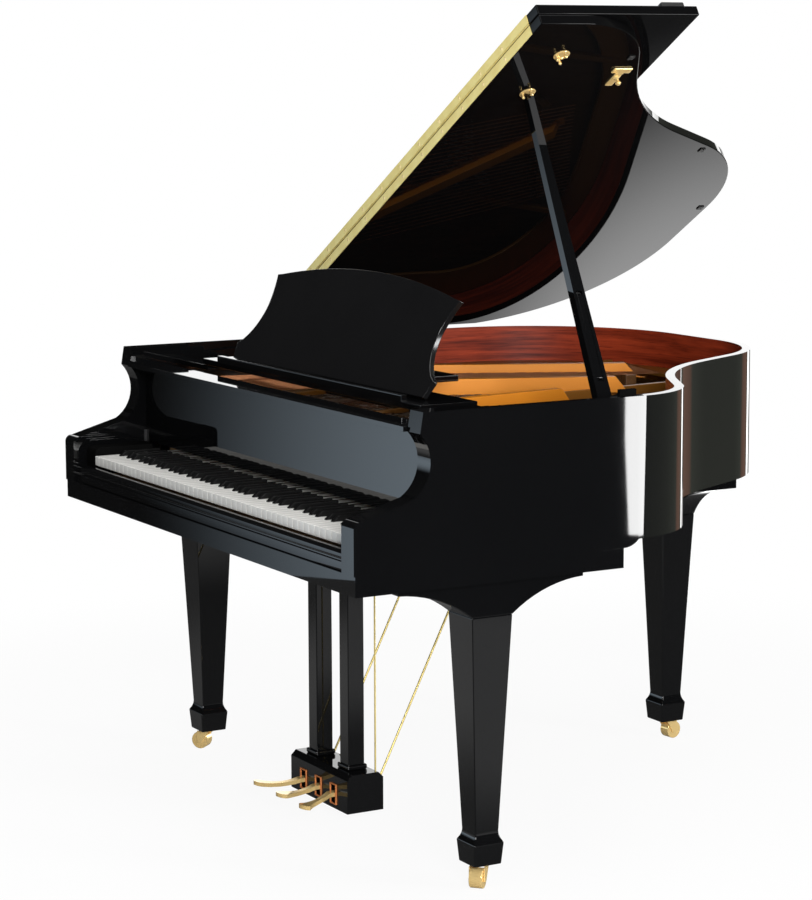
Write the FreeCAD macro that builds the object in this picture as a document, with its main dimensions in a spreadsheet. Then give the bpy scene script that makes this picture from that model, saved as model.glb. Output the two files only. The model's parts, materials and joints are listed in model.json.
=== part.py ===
import FreeCAD, Part
import math
import os
import re
import Sketcher

Vector = FreeCAD.Vector
Placement = FreeCAD.Placement
Rotation = FreeCAD.Rotation

# A baby grand piano in millimetres. X runs to the treble side, Y from the player to the tail and
# Z up from the floor. Depths are measured back from the front of the arms, and the whole case is
# then centred on the origin, so a depth of case_length / 2 lies at Y = 0.

doc = FreeCAD.newDocument("BabyGrand")
sheet = doc.addObject("Spreadsheet::Sheet", "Sizes")
fitted = doc.addObject("App::VarSet", "Fitted")

sizes = {
    # case
    "case_length": 1468, "rim_top": 988, "rim_bottom": 696, "rim_wall": 20,
    "bend_radius": 217, "bend_turn": 62, "bend_straight": 100, "waist_radius": 600, "waist_turn": 35,
    "waist_straight": 150, "tail_radius": 337, "spine_radius": 430, "glue_gap": 0.2,
    "arm_width": 50, "arm_depth": 300, "arm_nose": 17, "arm_nose_drop": 202, "arm_face_drop": 216,
    "arm_shoulder": 130, "arm_shoulder_drop": 170, "arm_hollow": 170, "arm_hollow_drop": 95,
    "arm_lip": 147, "arm_lip_drop": 42, "arm_crown": 154,
    "keybed_top": 680, "keybed_thickness": 41, "keybed_front": 3, "keybed_depth": 619, "cove_depth": 37,
    "slip_front": 8, "slip_thickness": 20, "slip_height": 42, "slip_step": 6, "slip_bead": 10,
    "block_front": 33, "block_back": 180, "block_height": 84, "block_round": 14, "block_gap": 3.4,
    "block_span": 54,
    # inside of the case
    "inner_rim_width": 40, "belly_front": 440, "belly_thickness": 36, "brace_width": 60,
    "brace_height": 70, "brace_spread": 60, "soundboard_bottom": 858, "soundboard_thickness": 8,
    "rib_width": 22, "rib_height": 18, "rib_count": 8, "rib_angle": 35,
    "plate_bottom": 890, "plate_thickness": 10, "plate_gap": 2, "plate_flange": 76, "web_front": 215,
    "web_back": 384, "strut_width": 14, "strut_rise": 12, "plate_lip": 12,
    "pin_block_front": 240, "pin_block_back": 380, "pin_block_height": 38,
    "pin_width": 5, "pin_height": 25, "pin_row": 300, "pin_row_step": 16, "string_size": 1.2,
    "string_rise": 4, "bass_rise": 14, "bridge_width": 28, "string_gap": 0.3, "string_tail": 80,
    "section_gap": 40, "bridge_front": 572, "bridge_tail": 420, "bass_bridge_tail": 193,
    "bass_bridge_span": 60, "bridge_room": 2,
    # keyboard and action
    "white_pitch": 23.5, "key_gap": 0.9, "key_front": 31.5, "key_top": 745.6, "key_thickness": 21.6,
    "head_length": 50, "key_back": 404, "sharp_rise": 12, "sharp_back": 184, "sharp_slope": 14,
    "balance_pin": 251, "balance_ridge": 8, "rail_gap": 0.3, "frame_front": 60,
    "frame_rail": 30, "back_rail": 372, "action_room": 29, "bracket_thickness": 8, "hammer_pivot": 276,
    "hammer_pivot_height": 838, "hammer_drop": 20, "hammer_reach": 124, "hammer_height": 64,
    "hammer_width": 8.5, "hammer_length": 20, "shank": 6, "rest_reach": 93,
    "damper_line": 450, "damper_length": 22, "damper_width": 7, "damper_height": 26,
    # fallboard
    "fallboard_face": 187, "fallboard_thickness": 18, "fallboard_bottom": 765, "fallboard_top": 955,
    "fallboard_lip": 47, "fallboard_lip_thickness": 10, "fallboard_gap": 4, "pivot_depth": 195,
    "pivot_height": 778, "pivot_pin": 4, "pivot_fit": 0.05, "pivot_pin_length": 14,
    "pivot_plate": 2.5, "pivot_plate_size": 28,
    # music shelf, desk and strut
    "shelf_side": 155, "shelf_front": 265, "shelf_back": 604, "shelf_top": 972, "shelf_thickness": 14,
    "wing_back": 400, "tongue_half": 90,
    "ledge_side": 77, "ledge_height": 13, "ledge_depth": 13, "shelf_slot_half": 48, "slot_front": 336,
    "slot_back": 594, "rail_width": 180, "rail_height": 12,
    "cross_depth": 35,
    "desk_hinge": 320, "desk_hinge_rise": 0.4, "desk_tilt": 28.8, "desk_thickness": 12, "desk_foot": 441,
    "desk_horn": 454, "desk_horn_height": 38, "desk_neck": 437, "desk_neck_height": 47,
    "desk_hip": 402, "desk_hip_height": 89, "desk_waist": 390, "desk_waist_height": 140,
    "desk_flank": 400, "desk_flank_height": 187, "desk_ear": 413, "desk_ear_height": 218,
    "desk_shoulder": 390, "desk_shoulder_height": 221, "desk_height": 257,
    "strut_pivot": 130, "strut_length": 136, "strut_board": 7, "strut_half": 40, "strut_lean": 61.8,
    # lid
    "lid_open": 30.8, "lid_thickness": 22, "lid_overhang": 10, "lid_front": 543, "flap_front": 140,
    "hinge_out": 5, "hinge_rise": 2, "lid_lift": 1, "leaf": 1.5, "leaf_gap": 0.15, "flap_gap": 2,
    "leaf_margin": 40, "leaf_short": 2, "knuckle": 1.6, "butt_length": 90, "butt_leaf": 2.5,
    "butt_height": 33, "butt_knuckle": 4.6, "butt_pin": 2, "butt_first": 640, "butt_second": 900,
    "cup_radius": 18, "cup_thickness": 3, "spare_cup": 154, "bumper_size": 15, "bumper_height": 2.6,
    "latch_inset": 207, "latch_tail": 624, "latch_length": 70, "latch_width": 18, "latch_thickness": 4,
    # prop
    "prop_inset": 60, "prop_y": 610, "prop_z": 970, "prop_lean": 48, "prop_width": 36, "prop_thick": 20,
    "prop_tip": 8, "prop_tip_gap": 0.8, "prop_heel": 12, "prop_pin": 4, "prop_pin_fit": 0.05,
    "prop_collar": 9, "prop_collar_start": 21, "prop_plate": 9, "prop_plate_width": 40,
    "prop_plate_height": 24, "stow_turn": 43, "slot_width": 15, "slot_depth": 12, "slot_low": 45,
    "slot_length": 205, "short_low": 52, "short_length": 190, "short_width": 14, "short_thick": 11,
    # legs and casters
    "leg_front": 328, "leg_inset": 75, "tail_leg_x": -160, "tail_leg_inset": 123, "leg_top_width": 94,
    "leg_neck_width": 55, "leg_neck": 122, "leg_flare_width": 71, "leg_flare": 95, "leg_foot_width": 63,
    "leg_bottom": 48.6, "foot_cove": 3, "cuff_height": 74, "cuff_end": 13, "cuff_cove": 15, "cuff_front": 113,
    "cuff_back": 543, "tail_board": 60, "tail_board_half": 142,
    "wheel_radius": 21, "wheel_width": 27, "wheel_gap": 0.6,
    "fork_plate": 4, "fork_cheek": 3, "fork_trail": 18, "fork_half": 15, "axle_radius": 3, "axle_fit": 0.06,
    # lyre and pedals
    "lyre_half": 134, "lyre_front": 295, "lyre_depth": 90, "lyre_bottom": 27, "lyre_height": 86,
    "lyre_chamfer": 12, "pillar_x": 74, "pillar_size": 40, "lyre_block_half": 112, "lyre_block_height": 40,
    "pedal_pitch": 71, "pedal_width": 20, "pedal_thickness": 9, "pedal_height": 60, "pedal_tip_y": 190,
    "pedal_fan": 40, "pedal_tip_radius": 17, "pedal_waist": 8, "pedal_dip": 9, "pedal_slot_fit": 1,
    "pedal_slot_half": 20, "pedal_pivot": 345, "pedal_pin": 3, "pedal_pin_fit": 0.06, "pedal_heel": 12,
    "rod_radius": 2, "rod_depth": 400, "rod_fit": 1, "rod_socket": 20, "rod_seat": 0.3, "brace_x": 110, "brace_top_y": 690, "brace_low_z": 85, "brace_radius": 2.5, "brace_end": 24,
}


# Sizes that follow from those above: the keyboard sets the width of the case, and what stands in
# the case or on it keeps its distance from the side or the tail.

all_notes, white_keys = 88, 52
octave_whites = 7
whites_below = (0, 0, 1, 2, 2, 3, 3, 4, 5, 5, 6, 6)
notes_below, whites_missing = 9, 5
fits = {
    "case_width": f"{white_keys} * white_pitch + 2 * (block_span + arm_width)",
    "action_half": f"{white_keys} / 2 * white_pitch + action_room",
    "fallboard_half": "case_width / 2 - arm_width - fallboard_gap",
    "shelf_half": "case_width / 2 - arm_width - shelf_side",
    "ledge_half": "case_width / 2 - arm_width - shelf_side - ledge_side",
    "leg_half": "case_width / 2 - leg_inset",
    "prop_x": "case_width / 2 - prop_inset",
    "tail_leg_y": "case_length - tail_leg_inset",
    "latch_depth": "case_length - latch_tail",
    "bridge_back": "case_length - bridge_tail",
    "bass_bridge_back": "case_length - bass_bridge_tail",
    "bass_bridge_front": "case_length - bass_bridge_tail - bass_bridge_span",
}


def fill_sheet():
    for row, (alias, value) in enumerate(sizes.items(), start=1):
        sheet.set(f"A{row}", alias)
        sheet.set(f"B{row}", str(value))
        sheet.setAlias(f"B{row}", alias)
    doc.recompute()
    for alias, text in fits.items():
        fitted.addProperty("App::PropertyFloat", alias, "Fitted")
        fitted.setExpression(alias, formula(text))
        doc.recompute()


def mm(alias):
    return float(getattr(fitted if alias in fits else sheet, alias))


def formula(text):
    """An expression in which each named size points to its cell."""

    def cell(word):
        home = "Sizes." if word[0] in sizes else "Fitted." if word[0] in fits else ""
        return home + word[0]

    return re.sub("[a-z_]+", cell, text)


fill_sheet()
nodes = []


def bind(item, **expressions):
    for field, text in expressions.items():
        item.setExpression(field.replace("__", "."), formula(text))


def place(item, x="0", y="0", z="0"):
    bind(item, Placement__Base__x=x, Placement__Base__y=f"{y} - case_length / 2", Placement__Base__z=z)


def node(label, item):
    item.Label = label
    nodes.append(item)
    return item


def block(name, x, y, z, length, depth, height):
    box = doc.addObject("Part::Box", name)
    bind(box, Length=length, Width=depth, Height=height)
    place(box, x, y, z)
    return box


def mirrored_blocks(name, x, y, z, length, depth, height):
    treble = block(name + "_treble", x, y, z, length, depth, height)
    bass = block(name + "_bass", f"-({x}) - ({length})", y, z, length, depth, height)
    return join(name, [treble, bass])


def join(name, items):
    fused = doc.addObject("Part::MultiFuse", name)
    fused.Shapes = items
    return fused


def cut(name, base, tool):
    result = doc.addObject("Part::Cut", name)
    result.Base = base
    result.Tool = tool
    return result


def profile_body(name, points, start, length):
    """A prism along X whose (depth, height) corners and length follow the sheet."""
    body = doc.addObject("PartDesign::Body", name)
    plane = next(item for item in body.Origin.OriginFeatures if item.Role == "YZ_Plane")
    sketch = body.newObject("Sketcher::SketchObject", name + "_profile")
    sketch.AttachmentSupport = (plane, [""])
    sketch.MapMode = "FlatFace"
    count = len(points)
    corners = [Vector(math.cos(math.tau * k / count), math.sin(math.tau * k / count)) for k in range(count)]
    for k in range(count):
        sketch.addGeometry(Part.LineSegment(corners[k], corners[(k + 1) % count]))
    for k, (depth, height) in enumerate(points):
        sketch.addConstraint(sketch_corner(k, count))
        for kind, text in (("DistanceX", depth), ("DistanceY", height)):
            index = sketch.addConstraint(Sketcher.Constraint(kind, -1, 1, k, 1, 0))
            sketch.setExpression(f"Constraints[{index}]", formula(text))
    pad = body.newObject("PartDesign::Pad", name + "_pad")
    pad.Profile = sketch
    pad.setExpression("Length", formula(length))
    place(body, start)
    return body


def sketch_corner(k, count):
    return Sketcher.Constraint("Coincident", k, 2, (k + 1) % count, 1)


def solid(label, shape, placement=None):
    """A piece whose form has arcs, lofts or repeats, drawn from the sheet's values."""
    feature = doc.addObject("Part::Feature", label)
    feature.Shape = shape
    feature.Placement = (placement or case_origin()).multiply(shape.Placement)
    return node(label, feature)


def case_origin():
    return Placement(Vector(0, -mm("case_length") / 2, 0), Rotation())


def prism(corners, direction):
    return Part.Face(Part.makePolygon(corners + corners[:1])).extrude(direction)


def box(x, y, z, length, depth, height):
    return Part.makeBox(length, depth, height, Vector(x, y, z))


def on_both_sides(shape):
    return [shape, shape.mirror(Vector(0, 0, 0), Vector(1, 0, 0))]


def chain(*runs):
    """A closed wire from runs of points: two points are a line, three an arc."""
    edges = []
    for run in runs:
        edges.append(Part.makeLine(*run) if len(run) == 2 else Part.Arc(*run).toShape())
    return Part.Wire(edges)


# Plan outline of the case


def drift(radius, start, end):
    """Travel along an arc whose heading turns from start to end, a negative radius turning right."""
    return Vector(radius * (math.cos(end) - math.cos(start)), radius * (math.sin(end) - math.sin(start)), 0)


def bentside_runs(inset):
    """The treble side from the bend to the tail: (radius or None, travel, first and last heading)."""
    bend = math.radians(mm("bend_turn"))
    waist = math.radians(mm("bend_turn") - mm("waist_turn"))
    ahead = [Vector(-math.sin(turn), math.cos(turn), 0) for turn in (bend, waist)]
    curves = [(mm("bend_radius") - inset, 0, bend), (-mm("waist_radius") - inset, bend, waist),
              (mm("tail_radius") - inset, waist, math.pi / 2)]
    bend_arc, waist_arc, tail_arc = [(drift(*c), drift(c[0], c[1], (c[1] + c[2]) / 2)) for c in curves]
    return [bend_arc, (ahead[0] * mm("bend_straight"), None), waist_arc,
            (ahead[1] * mm("waist_straight"), None), tail_arc]


def case_outline(inset):
    """The closed plan wire at an inset from the outside of the rim, open space in front included."""
    half = mm("case_width") / 2 - inset
    tail = mm("case_length") - inset
    runs = bentside_runs(inset)
    point = Vector(half, tail - sum(travel.y for travel, middle in runs), 0)
    edges = [Part.makeLine(Vector(half, 0, 0), point)]
    for travel, middle in runs:
        end = point + travel
        edges.append(Part.Arc(point, point + middle, end).toShape() if middle else Part.makeLine(point, end))
        point = end
    corner = mm("spine_radius") - inset
    round_start = Vector(-half + corner, tail, 0)
    round_end = Vector(-half, tail - corner, 0)
    slant = corner * (1 - math.sqrt(0.5))
    edges.append(Part.makeLine(point, round_start))
    edges.append(Part.Arc(round_start, Vector(-half + slant, tail - slant, 0), round_end).toShape())
    edges.append(Part.makeLine(round_end, Vector(-half, 0, 0)))
    edges.append(Part.makeLine(Vector(-half, 0, 0), Vector(half, 0, 0)))
    return Part.Wire(edges)


def case_slab(inset, front, bottom, height):
    """The plan outline as a slab, cut straight at a depth."""
    slab = Part.Face(case_outline(inset)).extrude(Vector(0, 0, height))
    slab.translate(Vector(0, 0, bottom))
    span = mm("case_width") / 2 - inset
    return slab.common(box(-span, front, bottom, 2 * span, mm("case_length"), height))


# Case


def arm_profile(x):
    """The side view of an arm: a nose, a hollow sweep up to the rim and a square back."""
    top = mm("rim_top")
    nose_round = mm("arm_nose") * (1 - math.sqrt(0.5))
    nose_low = top - mm("arm_face_drop")
    nose_high = top - mm("arm_nose_drop")

    def at(depth, height):
        return Vector(x, depth, height)

    nose_middle = at(nose_round, nose_high - (nose_high - nose_low) * (1 - math.sqrt(0.5)))
    nose_end = at(mm("arm_nose"), nose_high)
    shoulder = at(mm("arm_shoulder"), top - mm("arm_shoulder_drop"))
    hollow = at(mm("arm_hollow"), top - mm("arm_hollow_drop"))
    lip = at(mm("arm_lip"), top - mm("arm_lip_drop"))
    crown = at(mm("arm_crown"), top)
    back_top = at(mm("arm_depth"), top)
    back_low = at(mm("arm_depth"), mm("keybed_top"))
    front_low = at(0, mm("keybed_top"))
    return chain((front_low, at(0, nose_low)), (at(0, nose_low), nose_middle, nose_end), (nose_end, shoulder),
                 (shoulder, hollow, lip), (lip, crown), (crown, back_top), (back_top, back_low),
                 (back_low, front_low))


cove_lean, cove_lift = 0.6, 0.3


def cheek_skirt(x):
    """The side wall below the rim line, from the arm to the cove behind the keybed."""
    keybed_back = mm("keybed_front") + mm("keybed_depth")
    cove_rise = mm("rim_bottom") - mm("keybed_top")
    low_back = Vector(x, keybed_back, mm("keybed_top"))
    cove_top = Vector(x, keybed_back + mm("cove_depth"), mm("rim_bottom"))
    cove_middle = low_back + Vector(0, mm("cove_depth") * cove_lean, cove_rise * cove_lift)
    high_front = Vector(x, mm("arm_depth"), mm("rim_bottom"))
    low_front = Vector(x, mm("arm_depth"), mm("keybed_top"))
    return chain((low_front, low_back), (low_back, cove_middle, cove_top), (cove_top, high_front),
                 (high_front, low_front))


def outer_rim():
    height = mm("rim_top") - mm("rim_bottom")
    wall = mm("rim_wall")
    depth = mm("arm_depth")
    rim = case_slab(0, depth, mm("rim_bottom"), height)
    rim = rim.cut(case_slab(wall, depth - wall, mm("rim_bottom"), height))
    outside = mm("case_width") / 2
    arm = Part.Face(arm_profile(outside - mm("arm_width"))).extrude(Vector(mm("arm_width"), 0, 0))
    skirt = Part.Face(cheek_skirt(outside - wall)).extrude(Vector(wall, 0, 0))
    solid("outer_rim", rim.fuse(on_both_sides(arm) + on_both_sides(skirt)).removeSplitter())


def inner_rim():
    front = mm("belly_front") + mm("belly_thickness")
    outer = mm("rim_wall") + mm("glue_gap")
    height = mm("soundboard_bottom") - mm("rim_bottom")
    ring = case_slab(outer, front, mm("rim_bottom"), height)
    inner = outer + mm("inner_rim_width")
    solid("inner_rim", ring.cut(case_slab(inner, front - 1, mm("rim_bottom"), height)))


def keybed():
    board = block("keybed_board", "-case_width / 2", "keybed_front", "keybed_top - keybed_thickness",
                  "case_width", "keybed_depth", "keybed_thickness")
    holes = []
    for side in ("-1", "0", "1"):
        hole = doc.addObject("Part::Cylinder", "rod_hole")
        bind(hole, Radius="rod_radius + rod_fit", Height="keybed_thickness")
        place(hole, f"{side} * pedal_pitch", "rod_depth", "keybed_top - keybed_thickness")
        holes.append(hole)
    node("keybed", cut("keybed", board, join("rod_holes", holes)))


def key_slip():
    back = "slip_front + slip_thickness"
    top = "keybed_top + slip_height"
    points = [("slip_front", "keybed_top"), (back, "keybed_top"), (back, top + " - slip_step"),
              (back + " - slip_step", top), ("slip_front + slip_step", top), ("slip_front", top + " - slip_step"),
              ("slip_front", top + " - slip_step - slip_bead"),
              ("slip_front + slip_step / 2", top + " - slip_step - slip_bead"),
              ("slip_front + slip_step / 2", top + " - 2 * slip_step - slip_bead"),
              ("slip_front", top + " - 2 * slip_step - slip_bead")]
    half = "(case_width / 2 - arm_width - glue_gap)"
    node("key_slip", profile_body("key_slip", points, "-" + half, "2 * " + half))


def key_blocks():
    top = "keybed_top + block_height"
    points = [("block_front", "keybed_top"), ("block_back", "keybed_top"), ("block_back", top),
              ("block_front + block_round", top), ("block_front + block_round / 3", top + " - block_round / 3"),
              ("block_front", top + " - block_round")]
    inside = f"{white_keys} / 2 * white_pitch + block_gap"
    length = f"case_width / 2 - arm_width - glue_gap - ({inside})"
    treble = profile_body("key_block_treble", points, inside, length)
    bass = profile_body("key_block_bass", points, f"-({inside}) - ({length})", length)
    node("key_blocks", join("key_blocks", [treble, bass]))


def belly_rail():
    half = "(case_width / 2 - rim_wall - glue_gap)"
    node("belly_rail", block("belly_rail", "-" + half, "belly_front", "keybed_top", "2 * " + half,
                             "belly_thickness", "soundboard_bottom - keybed_top"))


def inside_strips(lines, width, bottom, height):
    """Straight strips, given by their ends in plan, trimmed to the space within the inner rim."""
    inset = mm("rim_wall") + mm("inner_rim_width") + 2 * mm("glue_gap")
    front = mm("belly_front") + mm("belly_thickness") + mm("glue_gap")
    room = case_slab(inset, front, bottom, height)
    strips = []
    for start, end in lines:
        side = Vector(start.y - end.y, end.x - start.x, 0).normalize() * (width / 2)
        rise = Vector(0, 0, bottom)
        corners = [start - side + rise, end - side + rise, end + side + rise, start + side + rise]
        strips += prism(corners, Vector(0, 0, height)).common(room).Solids
    return strips


def rim_braces():
    """Two braces from the belly rail under the lyre rods to the tail, spreading as they go."""
    lines = []
    for side in (-1, 1):
        start = Vector(side * mm("brace_x"), mm("belly_front"), 0)
        end = Vector(side * (mm("brace_x") + mm("brace_spread")), mm("case_length"), 0)
        lines.append((start, end))
    strips = inside_strips(lines, mm("brace_width"), mm("rim_bottom"), mm("brace_height"))
    solid("rim_braces", Part.makeCompound(strips))


def soundboard():
    slab = case_slab(mm("rim_wall") + mm("glue_gap"), mm("belly_front"), mm("soundboard_bottom"),
                     mm("soundboard_thickness"))
    solid("soundboard", slab)


def soundboard_ribs():
    """Parallel ribs glued under the soundboard, across its grain."""
    angle = math.radians(mm("rib_angle"))
    ahead = Vector(math.cos(angle), math.sin(angle), 0)
    first = mm("belly_front")
    step = (mm("case_length") - first) / mm("rib_count")
    lines = []
    for k in range(int(mm("rib_count"))):
        middle = Vector(-mm("case_width") / 4, first + (k + 0.5) * step, 0)
        lines.append((middle - ahead * mm("case_width"), middle + ahead * mm("case_width")))
    bottom = mm("soundboard_bottom") - mm("rib_height")
    solid("soundboard_ribs", Part.makeCompound(inside_strips(lines, mm("rib_width"), bottom, mm("rib_height"))))


# Strung back

bass_notes = 26
bass_heading, bass_fan = -13, 3
tenor_heading, tenor_fan = 11, 8
bridge_bow = 1.3
bass_rows, tenor_rows = 1, 2
undamped_notes = 18
strut_parts = (-0.03, 0.42, 0.74)


def strings_of(section):
    """Plan lines (pin, hitch) of one section's strings, two to a note in the treble, one in the bass."""
    bass = section == "bass"
    first, last = (0, bass_notes) if bass else (bass_notes, all_notes)
    count = bass_rows if bass else tenor_rows
    lines = []
    for note in range(first, last):
        for row in range(count):
            part = (note - first + row / count) / (last - first)
            pin, end = string_line(bass, part, row)
            tail = bridge_spot(bass, part).y + mm("string_tail")
            lines.append((pin, along((pin, end), min(end.y, tail))))
    return lines


def bridge_spot(bass, part):
    """Where a string crosses its bridge, which curves from the back to the front of the case."""
    back, front = ("bass_bridge_back", "bass_bridge_front") if bass else ("bridge_back", "bridge_front")
    depth = mm(front) + (mm(back) - mm(front)) * max(1 - part, 0) ** bridge_bow
    return along(string_line(bass, part, 0), depth)


def string_line(bass, part, row):
    """One string: the bass crosses from the front left, the rest fans back to the bentside."""
    reach = mm("action_half") - mm("bracket_thickness") * 3
    split = -reach + 2 * reach * bass_notes / all_notes
    edge = mm("section_gap")
    x = -reach + (split - edge + reach) * part if bass else split + edge + (reach - split - edge) * part
    heading = math.radians(bass_heading + bass_fan * part if bass else tenor_heading - tenor_fan * part)
    pin = Vector(x, mm("pin_row") + row * mm("pin_row_step"), 0)
    return pin, hitch(pin, Vector(-math.sin(heading), math.cos(heading), 0))


def hitch(pin, ahead):
    """Where a string reaches the middle of the plate's flange."""
    wire = case_outline(mm("rim_wall") + mm("plate_flange") / 2)
    ray = Part.makeLine(pin, pin + ahead * mm("case_length") * 2)
    return wire.distToShape(ray)[1][0][1]


def along(line, depth):
    pin, end = line
    return pin + (end - pin) * ((depth - pin.y) / (end.y - pin.y))


def strut_lines():
    """Plate bars lie in the gaps between string sections, so they follow the fan."""
    return [string_line(False, part, 0) for part in strut_parts]


def near_strut(line, struts):
    room = mm("strut_width") / 2 + mm("damper_width")
    return any(abs(along(line, depth).x - along(strut, depth).x) < room
               for strut in struts for depth in (mm("damper_line"), min(line[1].y, strut[1].y)))


def string_height(bass):
    return mm("plate_bottom") + mm("plate_thickness") + mm("bass_rise" if bass else "string_rise")


def cast_iron_plate(struts):
    """Flange round the rim, web over the pin block, bars that bridge the hammers between string sections."""
    bottom = mm("plate_bottom")
    thick = mm("plate_thickness")
    outside = mm("rim_wall") + mm("plate_gap")
    board_top = mm("soundboard_bottom") + mm("soundboard_thickness")
    start = mm("arm_depth") + mm("plate_gap")
    plate = case_slab(outside, start, bottom, thick)
    web_half = mm("case_width") / 2 - mm("arm_width") - mm("plate_gap")
    web = box(-web_half, mm("web_front"), bottom, 2 * web_half, start - mm("web_front"), thick)
    opening = case_slab(outside + mm("plate_flange"), mm("web_back"), bottom, thick)
    lip = case_slab(outside, mm("belly_front"), board_top, bottom - board_top)
    lip = lip.cut(case_slab(outside + mm("plate_lip"), mm("belly_front") - 1, board_top, bottom - board_top))
    hammers_back = mm("hammer_pivot") + mm("hammer_reach") + mm("hammer_length")
    strike = box(-mm("case_width") / 2, mm("web_back"), bottom, mm("case_width"), hammers_back - mm("web_back"),
                 string_height(False) - bottom)
    bars = []
    for pin, end in struts:
        ahead = (end - pin).normalize()
        side = Vector(-ahead.y, ahead.x, 0) * (mm("strut_width") / 2)
        first = along((pin, end), mm("web_back") - mm("strut_width"))
        corners = [point + Vector(0, 0, bottom) for point in (first - side, end - side, end + side, first + side)]
        bars.append(prism(corners, Vector(0, 0, thick + mm("strut_rise"))).cut(strike))
    casting = plate.fuse([web]).cut(opening).fuse(bars + [lip])
    solid("cast_iron_plate", casting.cut(bridge_bars(mm("bridge_room"))).removeSplitter())


def pin_block():
    half = "(case_width / 2 - arm_width - glue_gap)"
    node("pin_block", block("pin_block", "-" + half, "pin_block_front", "plate_bottom - pin_block_height",
                            "2 * " + half, "pin_block_back - pin_block_front", "pin_block_height"))


def tuning_pins(lines):
    size = mm("pin_width")
    top = mm("plate_bottom") + mm("plate_thickness")
    pins = []
    for pin, end in lines:
        corners = [pin + Vector(-size / 2, -size / 2, top), pin + Vector(size / 2, -size / 2, top),
                   pin + Vector(0, size / 2, top)]
        pins.append(prism(corners, Vector(0, 0, mm("pin_height"))))
    solid("tuning_pins", Part.makeCompound(pins))


def string_prism(line, height):
    pin, end = line
    ahead = (end - pin).normalize()
    start = pin + ahead * mm("pin_width") + Vector(0, 0, height)
    side = Vector(-ahead.y, ahead.x, 0) * (mm("string_size") / 2)
    corners = [start - side, start + side, start + Vector(0, 0, mm("string_size"))]
    return prism(corners, end - pin - ahead * mm("pin_width"))


def strings(tenor, bass):
    wires = [string_prism(line, string_height(False)) for line in tenor]
    wires += [string_prism(line, string_height(True)) for line in bass]
    solid("strings", Part.makeCompound(wires))


def bridge(points, top, room=0):
    """A curved bar under the strings, of one width all along, with room around it where asked."""
    curve = Part.BSplineCurve()
    curve.interpolate(points)
    half = mm("bridge_width") / 2 + room
    left, right = [], []
    for point in points:
        ahead = curve.tangent(curve.parameter(point))[0]
        side = Vector(-ahead.y, ahead.x, 0) * half
        left.append(point + side)
        right.append(point - side)
    edges = []
    for row in (left, right[::-1]):
        side_curve = Part.BSplineCurve()
        side_curve.interpolate(row)
        edges.append(side_curve.toShape())
    ends = [Part.makeLine(left[-1], right[-1]), Part.makeLine(right[0], left[0])]
    face = Part.Face(Part.Wire([edges[0], ends[0], edges[1], ends[1]]))
    board_top = mm("soundboard_bottom") + mm("soundboard_thickness")
    bar = face.extrude(Vector(0, 0, top + room - board_top))
    bar.translate(Vector(0, 0, board_top))
    return bar


def bridge_bars(room=0):
    long_points = [bridge_spot(False, -0.01 + 1.02 * k / 5) for k in range(6)]
    bass_points = [bridge_spot(True, k / 2) for k in range(3)]
    tops = [string_height(bass) - mm("string_gap") for bass in (False, True)]
    return [bridge(long_points, tops[0], room), bridge(bass_points, tops[1], room)]


def strung_back():
    struts = strut_lines()
    tenor = [line for line in strings_of("tenor") if not near_strut(line, struts)]
    bass = strings_of("bass")
    cast_iron_plate(struts)
    pin_block()
    tuning_pins(tenor + bass)
    strings(tenor, bass)
    solid("bridges", Part.makeCompound(bridge_bars()))
    dampers(tenor, bass)


def dampers(tenor, bass):
    """A felted block over each note's strings, one row behind the hammers."""
    blocks = []
    damped = tenor[:-undamped_notes * tenor_rows]
    middle = mm("damper_line") + mm("damper_length") / 2
    for lines, count, is_bass in ((bass, bass_rows, True), (damped, tenor_rows, False)):
        bottom = string_height(is_bass) + mm("string_size") + mm("string_gap")
        for line in lines[::count]:
            x = along(line, middle).x - mm("damper_width") / 2
            blocks.append(box(x, mm("damper_line"), bottom, mm("damper_width"), mm("damper_length"),
                              mm("damper_height")))
    solid("dampers", Part.makeCompound(blocks))


# Keyboard and action


def white_index(note):
    """Number of the white key at or below a note, counted from the lowest A."""
    return whites_below[note % len(whites_below)] + octave_whites * (note // len(whites_below))


def is_black(note):
    return note > 0 and white_index(note) == white_index(note - 1)


def tail_span(note):
    """The share of the octave that a key's tail takes, twelve equal tails to seven white keys."""
    pitch = mm("white_pitch")
    octave = octave_whites * pitch
    octaves, place_in_octave = divmod(note + notes_below, len(whites_below))
    step = octave / len(whites_below)
    left = -white_keys / 2 * pitch - whites_missing * pitch + octaves * octave + place_in_octave * step
    return left, left + step


def white_key(note):
    pitch = mm("white_pitch")
    gap = mm("key_gap") / 2
    head_left = (white_index(note) - white_keys / 2) * pitch
    head_right = head_left + pitch
    left, right = tail_span(note)
    if note == 0 or not is_black(note - 1):
        left = head_left
    if note == all_notes - 1 or not is_black(note + 1):
        right = head_right
    front = mm("key_front")
    notch = front + mm("head_length")
    back = mm("key_back")
    z = mm("key_top") - mm("key_thickness")
    outline = [(head_left + gap, front), (head_right - gap, front), (head_right - gap, notch),
               (right - gap, notch), (right - gap, back), (left + gap, back), (left + gap, notch),
               (head_left + gap, notch)]
    corners = [Vector(*outline[0], z)]
    for x, y in outline[1:]:
        corner = Vector(x, y, z)
        if not corner.isEqual(corners[-1], 0.001):
            corners.append(corner)
    return prism(corners, Vector(0, 0, mm("key_thickness")))


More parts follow.
